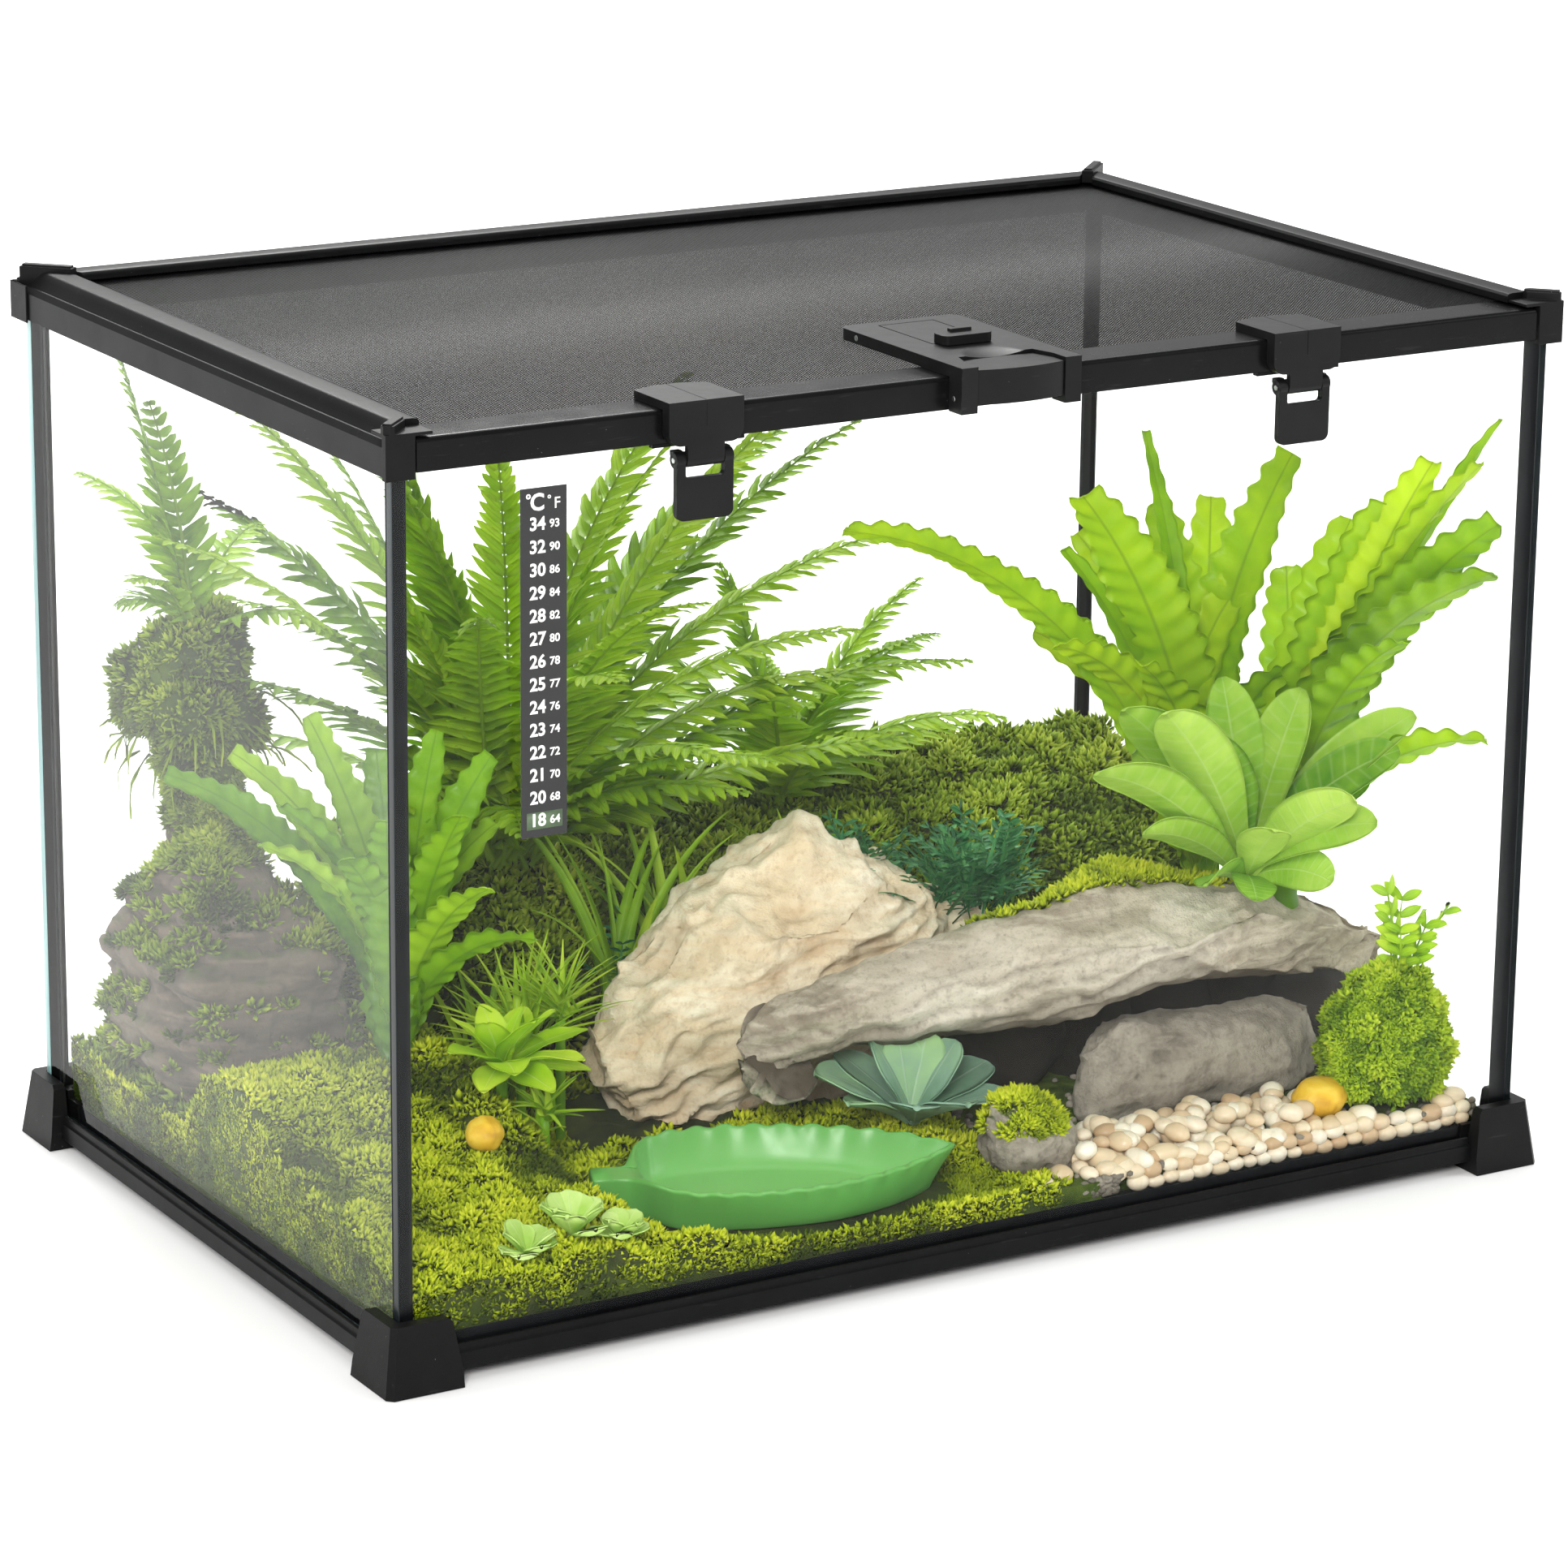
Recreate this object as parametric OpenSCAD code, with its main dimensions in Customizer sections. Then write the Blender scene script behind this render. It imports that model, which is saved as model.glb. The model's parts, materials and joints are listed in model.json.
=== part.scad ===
// Reptile terrarium: a glass tank in a black frame, with a sliding screen lid,
// a centre latch, two lever clips and planted scenery.
// X runs along the width, Y from front to back, Z up. The origin is at the
// middle of the outer box, at the underside of the feet.

/* [Tank] */
// Width over the top rails
tank_w = 500; // [490:1:520]
// Depth over the side rails
tank_d = 318; // [314:1:330]
// Height of the screen above the underside of the feet
tank_h = 346; // [344:1:380]
// Thickness of the glass panes
glass_t = 4; // [3:0.5:4]

/* [Feet] */
// Length of each leg of a corner foot
foot_leg = 30.5; // [28:0.5:34]
// Height of a corner foot
foot_h = 26; // [24:1:30]
// How far the foot stands out beyond the rail at the floor
foot_flare = 5.3; // [4:0.1:5.3]

/* [Lid] */
// Depth of the front bar of the lid, front to back
bar_depth = 19; // [18:0.5:20]
// Thickness of the screen
screen_t = 0.8; // [0.6:0.1:0.8]

/* [Latch] */
// Width over the two jaws of the latch
latch_w = 51; // [50:1:54]
// Depth of the latch housing behind the front of the rail
latch_back = 77; // [70:1:84]
// Height of the latch housing above the lid bar
latch_t = 4.4; // [4.2:0.1:5]

/* [Clips] */
// Distance of each clip from the middle of the tank
clip_x = 128; // [110:1:150]
// Width of a clip
clip_w = 30; // [28:1:32]
// Height of the swinging lever below its pin
lever_drop = 21.6; // [18:0.2:26]

/* [Thermometer] */
// Width of the strip
strip_w = 18.2; // [16:0.2:20]
// Height of the strip
strip_h = 125.6; // [110:0.2:130]

/* [Dish] */
// Length of the leaf dish, stem to tip
dish_l = 140; // [120:1:142]
// Width of the leaf dish
dish_w = 80; // [60:1:84]
// Height of the leaf dish
dish_h = 19; // [15:1:22]

/* [Hidden] */

$fn = 48;
a = tank_w / 2;               // outer faces of the side rails
b = tank_d / 2;               // outer faces of the front and rear rails
lever_bow = 10.6;             // how far the latch lever stands in front of the rail
y_shift = (lever_bow - foot_flare) / 2;   // centres the outer box on the origin
zs = tank_h;                  // top of the screen
zb = 9.9;                     // floor of the bottom rails
gi = 3.5;                     // glass is set in by this much
go = gi + glass_t;            // inner face of the glass
gtop = zs - 9;                // top edge of the glass
zf = 22.2;                    // ground level over the substrate

black = [0.09, 0.09, 0.09];
smoke = [0.15, 0.15, 0.15];

module in_frame() translate([0, y_shift, 0]) children();

// ---------- helpers ----------
// profile (u, z) drawn inward from the outer face, run along Y at the left side
module along_y(y0, y1) translate([-a, y1, 0]) rotate([90, 0, 0]) linear_extrude(y1 - y0) children();
// profile (u, z) drawn inward from the outer face, run along X at the front
module along_x(x0, x1) translate([x0, -b, 0]) rotate([90, 0, 90]) linear_extrude(x1 - x0) children();
module flip_y() mirror([0, 1, 0]) children();
module flip_x() mirror([1, 0, 0]) children();
// plate with rounded vertical edges, made from exact solids
module round_plate(x0, x1, y0, y1, h, r) {
  translate([x0 + r, y0, 0]) cube([x1 - x0 - 2 * r, y1 - y0, h]);
  translate([x0, y0 + r, 0]) cube([x1 - x0, y1 - y0 - 2 * r, h]);
  for (x = [x0 + r, x1 - r], y = [y0 + r, y1 - r]) translate([x, y, 0]) cylinder(h = h, r = r);
}
module x_rod(x0, x1, y, z, d) translate([x0, y, z]) rotate([0, 90, 0]) cylinder(h = x1 - x0, d = d);

// ---------- glass ----------
module glass_front() color([0.75, 0.9, 0.88, 0.25])
  translate([-(a - gi), -b + gi, 10]) cube([2 * (a - gi), glass_t, gtop - 10]);
module glass_rear() flip_y() glass_front();
module glass_left() color([0.75, 0.9, 0.88, 0.25])
  translate([-a + gi, -b + go + 0.5, 10]) cube([glass_t, 2 * (b - go - 0.5), gtop - 10]);
module glass_right() flip_x() glass_left();
module glass_bottom() color([0.75, 0.9, 0.88, 0.25])
  translate([-(a - go - 3.3), -(b - go - 3.3), 10]) cube([2 * (a - go - 3.3), 2 * (b - go - 3.3), 4]);

// vertical corner beads, and the beads round the bottom pane
module silicone_seams() color(black) {
  for (sx = [0, 1], sy = [0, 1]) mirror([sx, 0, 0]) mirror([0, sy, 0]) translate([-a, -b, 0]) {
    translate([gi + 0.1, go, 10]) cube([glass_t - 0.1, 0.5, gtop - 10.1]);
    translate([0, 0, 20.3]) linear_extrude(gtop - 24.6)
      polygon([[go, go], [go + 2.5, go], [go + 1.4, go + 1.4], [go, go + 2.7]]);
  }
  for (sy = [0, 1]) mirror([0, sy, 0])
    along_x(-a + foot_leg - foot_flare + 0.3, a - foot_leg + foot_flare - 0.3)
      polygon([[go, zb], [go + 3.2, zb], [go + 3.2, 14], [go, 17]]);
  for (sx = [0, 1]) mirror([sx, 0, 0])
    along_y(-b + foot_leg - foot_flare + 0.3, b - foot_leg + foot_flare - 0.3)
      polygon([[go, zb], [go + 3.2, zb], [go + 3.2, 14], [go, 17]]);
}

// ---------- bottom frame ----------
module bottom_profile() difference() {
  polygon([[0, 4.5], [16, 4.5], [16, zb], [2.4, zb], [2.4, 14.2], [1.2, 14.2],
           [1.2, 11.8], [0.6, 11.2], [0, 11.2]]);
  translate([3, 6.2]) square([10, 2.2]);
}
rail_gap = foot_leg - foot_flare + 0.1;
module bottom_rail_front() color(black) along_x(-a + rail_gap, a - rail_gap) bottom_profile();
module bottom_rail_rear() flip_y() bottom_rail_front();
module bottom_rail_left() color(black) along_y(-b + rail_gap, b - rail_gap) bottom_profile();
module bottom_rail_right() flip_x() bottom_rail_left();

// one leg of a foot along X, with its free end sloping in
module foot_leg_x() translate([0, 16, 0]) rotate([90, 0, 0]) linear_extrude(24)
  polygon([[-8, 0], [foot_leg - foot_flare, 0], [foot_leg - foot_flare, 6],
           [foot_leg - foot_flare - 2.8, foot_h - 1.6], [foot_leg - foot_flare - 4.4, foot_h], [-8, foot_h]]);
// slanting outer wall of the foot, extruded across the corner
module foot_slope(s0, s1) rotate([90, 0, 0]) translate([0, 0, -60]) linear_extrude(120)
  polygon([[s0, 0], [80, 0], [80, foot_h], [s1, foot_h]]);
// moulded corner foot: flared shell, slot for the panes, low inner wall, rail tenons
module foot_fl() color(smoke) translate([-a, -b, 0]) {
  difference() {
    intersection() {
      union() {
        foot_leg_x();
        mirror([1, -1, 0]) foot_leg_x();
      }
      foot_slope(-foot_flare, -1.6);
      rotate([0, 0, 90]) mirror([0, 1, 0]) foot_slope(-foot_flare, -1.6);
      rotate([0, 0, 45]) foot_slope(-foot_flare * sqrt(2) + 1.66, -1.6 * sqrt(2) + 1.3);
    }
    translate([gi - 0.3, gi - 0.3, 9.8]) {
      cube([60, glass_t + 0.6, 40]);
      cube([glass_t + 0.6, 60, 40]);
    }
    translate([go + 3, go + 3, zb]) cube([60, 60, 40]);
    translate([go, go, 20]) cube([60, 60, 40]);
    translate([14, go - 1, 17]) cube([60, 4.2, 40]);
    translate([go - 1, 14, 17]) cube([4.2, 60, 40]);
  }
  translate([foot_leg - foot_flare - 0.1, 3.3, 6.4]) cube([7, 9.4, 1.8]);
  translate([3.3, foot_leg - foot_flare - 0.1, 6.4]) cube([9.4, 7, 1.8]);
}
module foot_front_left() foot_fl();
module foot_front_right() flip_x() foot_fl();
module foot_rear_left() flip_y() foot_fl();
module foot_rear_right() flip_x() flip_y() foot_fl();

// ---------- top frame ----------
// channel rail: glass slot below, lid channel facing inward, rolled ridge on top
module top_profile() polygon([
  [0, zs - 13], [3.1, zs - 13], [3.1, zs - 8.4], [go + 0.4, zs - 8.4], [go + 0.4, zs - 13],
  [go + 1.9, zs - 13], [go + 1.9, zs - 7.4], [20.5, zs - 7.4], [20.5, zs - 5.5],
  [10.3, zs - 5.5], [10.3, zs + 1], [18, zs + 1], [18, zs + 3.4], [17.2, zs + 4.3],
  [15.5, zs + 4.6], [9, zs + 4.6], [7.4, zs + 4], [6, zs + 2.2], [5, zs + 0.6],
  [3.9, zs - 0.4], [3.4, zs - 1], [2.9, zs - 0.7], [2.1, zs - 0.7], [0, zs - 2.6]]);
// removes everything past the diagonal of the rear left corner
module past_mitre(gap) translate([-a, b, 0]) rotate([0, 0, 45])
  translate([gap, -300, zs - 40]) cube([600, 600, 80]);
module before_mitre(gap) translate([-a, b, 0]) rotate([0, 0, 45])
  translate([-600 - gap, -300, zs - 40]) cube([600, 600, 80]);
module top_rail_left() color(black) difference() {
  along_y(-b + 2.4, b) top_profile();
  past_mitre(-2.6);
  // the flange stops behind the front cap
  translate([-a - 1, -b, zs + 0.9]) cube([40, 10.6, 20]);
  // the front pane passes under the web
  translate([-a + 3.1, -b, zs - 20]) cube([30, go + 0.5, 11.6]);
}
module top_rail_right() flip_x() top_rail_left();
module top_rail_rear() color(black) difference() {
  flip_y() along_x(-a, a) top_profile();
  before_mitre(-2.6);
  flip_x() before_mitre(-2.6);
}
// trim pressed on the front pane, with a keeper lug behind each clip
module front_glass_trim() color(black) {
  along_x(-a + 20.8, a - 20.8) polygon([
    [2.3, zs - 12.4], [gi - 0.2, zs - 12.4], [gi - 0.2, zs - 8.6], [go + 0.2, zs - 8.6],
    [go + 0.2, zs - 12.4], [go + 1.4, zs - 12.4], [go + 1.4, zs - 5.4], [2.3, zs - 5.4]]);
  for (x = [-clip_x, clip_x]) translate([x - 18.5, -b + 0.5, zs - 13.5]) cube([37, gi - 0.7, 1.4]);
}
// diagonal ridge over a corner
module ridge(len, z0, z1) rotate([0, 0, 45]) {
  translate([0, -2.5, z0]) cube([len, 5, z1 - z0 - 0.8]);
  translate([0.8, -1.7, z0]) cube([len - 1.6, 3.4, z1 - z0]);
}
module cap_fl() color(smoke) translate([-a, -b, 0]) {
  difference() {
    translate([-0.5, -0.8, zs - 14]) cube([11.3, 3.1, 16.3]);
    translate([-0.5, -2, zs + 2.3]) rotate([0, 45, 0]) cube([1.6, 8, 1.6], center = false);
  }
  translate([-0.5, -0.8, zs + 1.1]) cube([18, 11.2, 1.2]);
  intersection() {
    translate([0.2, 0.2, 0]) ridge(15, zs + 2, zs + 6);
    translate([-0.5, -0.8, zs]) cube([11.5, 11.2, 10]);
  }
}
module cap_front_left() cap_fl();
module cap_front_right() flip_x() cap_fl();
// rear corner: diagonal web between the mitred rails, and an outer shell
module cap_rl() color(smoke) flip_y() translate([-a, -b, 0]) {
  difference() {
    union() {
      translate([1, 1, 0]) ridge(23.8, zs - 8.2, zs + 1.7);
      translate([2.6, 2.6, 0]) ridge(21.5, zs + 0.4, zs + 7.2);
      translate([-0.9, -0.9, zs - 14]) cube([15, 0.8, 14.4]);
      translate([-0.9, -0.9, zs - 14]) cube([0.8, 15, 14.4]);
    }
    translate([10.2, 10.2, zs - 5.7]) cube([30, 30, 6.8]);
    translate([-0.1, -0.1, zs - 20]) cube([30, 30, 11.7]);
  }
}
module cap_rear_left() cap_rl();
module cap_rear_right() flip_x() cap_rl();

// ---------- lid ----------
lid_x = a - 11.6;             // half width of the front bar
lid_top = zs + 0.1;
latch_slot = 8;
module lid_front_bar() color(black) difference() {
  along_x(-lid_x, lid_x) polygon([
    [0, zs - 12], [2, zs - 12], [2, zs - 5], [bar_depth, zs - 5], [bar_depth, lid_top],
    [1.6, lid_top], [0.9, lid_top - 0.35], [0.35, lid_top - 0.9], [0, lid_top - 1.8]]);
  // opening for the tooth of the latch lever
  translate([-latch_slot, -b + 3.4, zs - 6]) cube([2 * latch_slot, 7.2, 8]);
}
module lid_left_bar() color(black) translate([-a + 10.8, -b + bar_depth + 0.1, zs - 5.2])
  cube([10.2, tank_d - 10.8 - bar_depth - 0.1, 5.2 - screen_t]);
module lid_right_bar() flip_x() lid_left_bar();
module lid_rear_bar() color(black) translate([-a + 21.1, b - 10.8 - 10, zs - 5.2])
  cube([2 * a - 42.2, 10, 5.2 - screen_t]);
module lid_screen() color([0.12, 0.12, 0.12, 0.6]) translate([-a + 11.6, -b + bar_depth + 0.2, zs - screen_t])
  cube([2 * a - 23.2, tank_d - bar_depth - 0.2 - 11.6, screen_t]);

// ---------- latch ----------
lh = latch_w / 2;
pin_y = -b - 3.2;
pin_z = zs - 7.4;
top_z = lid_top + latch_t;    // top of the latch housing
module latch_housing() color(smoke) difference() {
  union() {
    translate([0, 0, lid_top]) round_plate(-lh, lh, -b - 8.6 + 0.01, -b + latch_back, latch_t, 5);
    for (s = [-1, 1]) translate([s > 0 ? lh - 6.9 : -lh, -b - 8.6, zs - 12.4])
      cube([6.9, 8.5, top_z - zs + 12.4]);
  }
  // room for the lever, narrowing to the rear
  translate([0, -b, zs - 20]) linear_extrude(60)
    polygon([[-lh + 6.9, -12], [lh - 6.9, -12], [lh - 6.9, -0.2], [lh - 9.7, 9.4], [-lh + 9.7, 9.4], [-lh + 6.9, -0.2]]);
  // finger scoop behind the lever
  translate([0, -b + 9.4, top_z + 58.6]) sphere(r = 60, $fn = 120);
  // pin bore and side screws
  x_rod(-lh - 1, lh + 1, pin_y, pin_z, 2.04);
  for (s = [-1, 1]) x_rod(s > 0 ? lh - 5 : -lh - 1, s > 0 ? lh + 1 : -lh + 5, -b + 64, lid_top + 2.2, 2.2);
  // guide for the bolt and slot for the button stem
  translate([-5.8, -b + 9, lid_top - 1]) cube([11.6, 35.4, 3.5]);
  translate([-3.1, -b + 28.9, lid_top]) cube([6.2, 10.7, 10]);
  // outline of the panel
  difference() {
    translate([-12, -b + 33, top_z - 0.3]) cube([24, 38, 2]);
    translate([-11.4, -b + 33.6, top_z - 1]) cube([22.8, 36.8, 3]);
  }
}
module latch_pin() color("silver") x_rod(-lh - 0.15, lh + 0.15, pin_y, pin_z, 2);
module latch_screws() color("silver") for (s = [-1, 1]) difference() {
  x_rod(s > 0 ? lh - 4.8 : -lh - 0.2, s > 0 ? lh + 0.2 : -lh + 4.8, -b + 64, lid_top + 2.2, 2.1);
  translate([s * (lh + 0.2) - 0.3, -b + 64 - 0.2, lid_top + 1.4]) cube([0.6, 0.4, 1.6]);
}
module latch_lever() color(smoke) difference() {
  intersection() {
    union() {
      // bowed front wall
      translate([-lh + 7.3, -b - lever_bow, zs - 9.6]) cube([latch_w - 14.6, 4.4, 12.8]);
      // top wall over the rail
      translate([0, -b, zs + 1.3]) linear_extrude(1.9)
        polygon([[-lh + 7.3, -lever_bow], [lh - 7.3, -lever_bow], [lh - 7.3, -0.6], [lh - 10.2, 8.9], [-lh + 10.2, 8.9], [-lh + 7.3, -0.6]]);
      // cheeks that carry the pin
      for (s = [-1, 1]) translate([s > 0 ? lh - 9.5 : -lh + 7.3, 0, 0]) {
        translate([0, -b - 8.2, pin_z]) cube([2.2, 7.4, zs + 2 - pin_z]);
        x_rod(0, 2.2, pin_y, pin_z, 4.8);
      }
      // tooth that drops behind the front pane trim
      translate([-7, -b + 7, zs - 3.5]) cube([14, 1.9, 5]);
    }
    // the bow of the front face
    translate([0, -b - lever_bow + 65, zs - 20]) cylinder(h = 60, r = 65, $fn = 240);
  }
  x_rod(-lh, lh, pin_y, pin_z, 2.12);
}
module latch_button() color(smoke) {
  translate([0, 0, top_z + 0.15]) round_plate(-10.5, 10.5, -b + 26.5, -b + 36.5, 3.6, 3);
  translate([-4.5, -b + 32.6, top_z + 3.6]) cube([9, 2.6, 1.4]);
  translate([-2.9, -b + 29.2, lid_top + 2]) cube([5.8, 4, top_z - lid_top - 1.7]);
  translate([-5.5, -b + 10.4, lid_top + 0.4]) cube([11, 27.6, 1.9]);
}

// ---------- lever clips ----------
cz = zs - 18;                 // height of the clip pin
cy = -b - 1.8;
ch = clip_w / 2;
module clip_body() color(smoke) difference() {
  union() {
    // top plate with an arched rear edge
    intersection() {
      translate([-ch, -b - 5, lid_top]) cube([clip_w, 29.2, 3.1]);
      translate([0, -b - 6, lid_top - 1]) cylinder(h = 6, r = 30.2, $fn = 120);
    }
    // front plate with rounded lower corners
    translate([0, -b - 0.2, 0]) rotate([90, 0, 0]) linear_extrude(4.8) {
      translate([-ch, zs - 7.6]) square([clip_w, lid_top + 3.1 - zs + 7.6]);
      translate([-ch + 5, zs - 12.6]) square([clip_w - 10, 10]);
      for (s = [-1, 1]) translate([s * (ch - 5), zs - 7.6]) circle(r = 5);
    }
    // tongue and its barrel
    translate([-7.4, -b - 5, cz]) cube([14.8, 2.4, 8]);
    x_rod(-7.4, 7.4, cy, cz, 5.7);
  }
  // hollow back of the front plate
  translate([-ch + 2.4, -b - 2.4, zs - 10.6]) cube([clip_w - 4.8, 6, 10.4]);
  // mould parting line
  translate([-0.15, -b - 5.1, zs - 6]) cube([0.3, 0.25, 20]);
  translate([-0.15, -b - 6, lid_top + 2.95]) cube([0.3, 40, 1]);
  x_rod(-20, 20, cy, cz, 2.02);
}
module clip_lever() color(smoke) difference() {
  union() {
    // plate, hanging in front of the glass
    translate([0, -b - 1.5, 0]) rotate([90, 0, 0]) linear_extrude(2.8) {
      translate([-11.4, cz - lever_drop + 3]) square([22.8, lever_drop - 3]);
      translate([-8.4, cz - lever_drop]) square([16.8, 6]);
      for (s = [-1, 1]) translate([s * 8.4, cz - lever_drop + 3]) circle(r = 3);
    }
    for (s = [-1, 1]) {
      x_rod(s > 0 ? 7.8 : -11.4, s > 0 ? 11.4 : -7.8, cy, cz, 5.7);
      // cam under the keeper lug
      translate([s > 0 ? 7.8 : -11.4, cy, cz + 1.4]) cube([3.6, 2.9, 1.9]);
    }
  }
  // window under the tongue, with rounded lower corners
  translate([-6.2, -b - 10, cz - 6.4]) cube([12.4, 20, 12]);
  translate([-7.8, -b - 10, cz - 4.8]) cube([15.6, 20, 12]);
  for (s = [-1, 1]) translate([s * 6.2, -b + 10, cz - 4.8]) rotate([90, 0, 0]) cylinder(h = 20, r = 1.6, $fn = 24);
  x_rod(-20, 20, cy, cz, 2.12);
}
module clip_pin() color("silver") x_rod(-11.7, 11.7, cy, cz, 2);
module clip_left_body() translate([-clip_x, 0, 0]) clip_body();
module clip_left_lever() translate([-clip_x, 0, 0]) clip_lever();
module clip_left_pin() translate([-clip_x, 0, 0]) clip_pin();
module clip_right_body() translate([clip_x, 0, 0]) clip_body();
module clip_right_lever() translate([clip_x, 0, 0]) clip_lever();
module clip_right_pin() translate([clip_x, 0, 0]) clip_pin();

// ---------- thermometer strip ----------
module thermometer_strip() color("black")
  translate([-188 - strip_w / 2, -b + gi - 0.4, zs - 23 - strip_h]) cube([strip_w, 0.4, strip_h]);

// ---------- scenery ----------
// lump of stone or moss: hull of spheres, cut flat at the ground
module lump(pts, zcut) intersection() {
  hull() for (p = pts) translate([p[0], p[1], p[2]]) sphere(r = p[3], $fn = 16);
  translate([-300, -300, zcut]) cube([600, 600, 400]);
}
module substrate_bed() color([0.24, 0.2, 0.12])
  translate([-a + go + 3.6, -b + go + 3.6, 14.1]) cube([2 * (a - go - 3.6), 2 * (b - go - 3.6), zf - 14.2]);
// ground that rises to the rear, given as a profile (y, z) between two x values
module ramp(x0, x1, pts) translate([x0, 0, 0]) rotate([90, 0, 90]) linear_extrude(x1 - x0) polygon(pts);
module moss_mound_left() color([0.35, 0.5, 0.1]) ramp(-a + 15, -131,
  [[-b + 13, zf], [-b + 13, 25], [-48, 43], [-14, 60], [18, 60], [18, zf]]);
module rear_mound() color([0.2, 0.3, 0.08]) ramp(-142, a - 15,
  [[48, zf], [52, 66], [84, 92], [110, 102], [b - 13, 106], [b - 13, zf]]);
module rock_wall() color([0.25, 0.25, 0.2]) lump([
  [-215, 60, 40, 20], [-215, 120, 40, 20], [-170, 50, 40, 22], [-172, 122, 40, 22],
  [-214, 112, 150, 20], [-196, 100, 165, 20], [-214, 66, 110, 20]], zf);
module sandstone_rock() color([0.85, 0.75, 0.58]) lump([
  [-72, -5, 45, 27], [-40, -3, 75, 30], [10, -3, 95, 35], [60, -3, 70, 28], [85, 0, 45, 20]], zf);
module cave_slab() color([0.55, 0.51, 0.44]) {
  lump([[-37, -49, 36, 11], [-36, -50, 64, 13]], zf);
  lump([[-36, -50, 64, 13], [-6, -60, 76, 15]], zf);
  lump([[-6, -60, 76, 15], [16, -71, 74, 13], [52, -66, 86, 19], [80, -78, 86, 22]], zf);
  lump([[80, -78, 86, 22], [140, -80, 94, 23], [118, -58, 92, 20]], zf);
  lump([[140, -80, 94, 23], [200, -84, 82, 17], [226, -88, 73, 9], [186, -66, 84, 14]], zf);
}
module cave_boulder() color([0.45, 0.43, 0.38]) lump([
  [108, -82, 36, 15], [150, -80, 38, 17], [186, -82, 36, 15]], zf);
module small_grey_rock() color([0.5, 0.48, 0.44]) lump([
  [36, -122, 36, 15], [47, -119, 30, 13]], zf);
module river_pebbles() color([0.92, 0.86, 0.74])
  for (i = [0 : 7], j = [0 : 1]) translate([70 + 11.6 * i + 5 * j, -139.5 + 12 * j, zf + 4.8 + 0.1])
    sphere(r = 4.8, $fn = 24);
module yellow_stones() color([0.9, 0.7, 0.1]) {
  translate([172, -132, zf + 8.6]) sphere(r = 8.5, $fn = 32);
  translate([-158, -54, 49.5]) sphere(r = 6.5, $fn = 32);
}
module moss_bush() color([0.55, 0.62, 0.08]) lump([
  [205, -123, 44, 24], [214, -122, 52, 22]], zf);

// pointed leaf blade lying along +X
module leaf(len, wid, t) linear_extrude(t) polygon(concat(
  [for (i = [0 : 8]) [len * i / 8, wid / 2 * (0.25 + 0.75 * sin(180 * pow(i / 8, 0.8))) * (i == 8 ? 0 : 1)]],
  [for (i = [7 : -1 : 0]) [len * i / 8, -wid / 2 * (0.25 + 0.75 * sin(180 * pow(i / 8, 0.8)))]]));
// plant made of blades: each blade is [heading, rise, length, width]
module blades(p, core, list, t = 1.2) translate(p) {
  cylinder(h = core[1], r = core[0], $fn = 24);
  translate([0, 0, core[1] - 2]) for (q = list) rotate([0, 0, q[0]]) rotate([0, -q[1], 0]) leaf(q[2], q[3], t);
}
module boston_fern() color([0.4, 0.65, 0.1]) blades([-70, 96, 101.5], [8, 16], [
  [160, 60, 200, 26], [130, 73, 185, 26], [100, 77, 175, 26], [60, 75, 180, 26], [30, 58, 165, 26],
  [0, 36, 175, 26], [-22, 28, 185, 26], [-50, 44, 165, 26], [-95, 56, 170, 26], [-130, 60, 165, 26]]);
module strap_fern() color([0.35, 0.6, 0.1]) blades([-172, 2, 60.2], [8, 10], [
  [13, 61, 118, 17], [61, 70, 128, 18], [117, 76, 108, 17], [176, 72, 110, 18],
  [229, 66, 114, 17], [283, 57, 117, 18], [334, 52, 112, 17]]);
module birds_nest_fern() color([0.5, 0.75, 0.1]) blades([186, -28, zf + 0.1], [9, 62], [
  [-66, 64, 150, 22], [20, 72, 190, 24], [90, 70, 200, 24], [140, 58, 190, 24], [168, 50, 215, 22],
  [195, 66, 190, 24], [-20, 80, 205, 24]]);
module large_rosette() color([0.55, 0.75, 0.2]) blades([158, -88, 114], [7, 6], [
  [200, 30, 72, 24], [235, 35, 66, 24], [275, 30, 52, 24], [165, 52, 70, 24], [310, 30, 60, 22], [255, 66, 70, 22]]);
module grey_rosette() color([0.45, 0.6, 0.5]) blades([12, -92, zf + 0.1], [5, 12], [
  [20, 24, 30, 15], [70, 30, 22, 14], [110, 36, 20, 12], [-30, 30, 24, 14], [150, 52, 26, 13], [-75, 45, 20, 12]]);
module small_rosette() color([0.7, 0.85, 0.1]) blades([-140, -22, 60.2], [4, 8], [
  [-60, 30, 30, 12], [-110, 30, 30, 12], [-15, 34, 26, 12], [-160, 40, 24, 11], [40, 40, 20, 10]]);
module grass_tufts() color([0.3, 0.55, 0.1]) {
  blades([-110, 34, zf + 0.1], [4, 45], [[60, 70, 70, 9], [110, 74, 74, 9], [180, 74, 60, 9], [-120, 78, 70, 9]]);
  blades([112, 30, zf + 0.1], [4, 55], [[30, 70, 60, 8], [150, 74, 64, 8], [90, 78, 60, 8], [210, 76, 60, 8]]);
}

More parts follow.
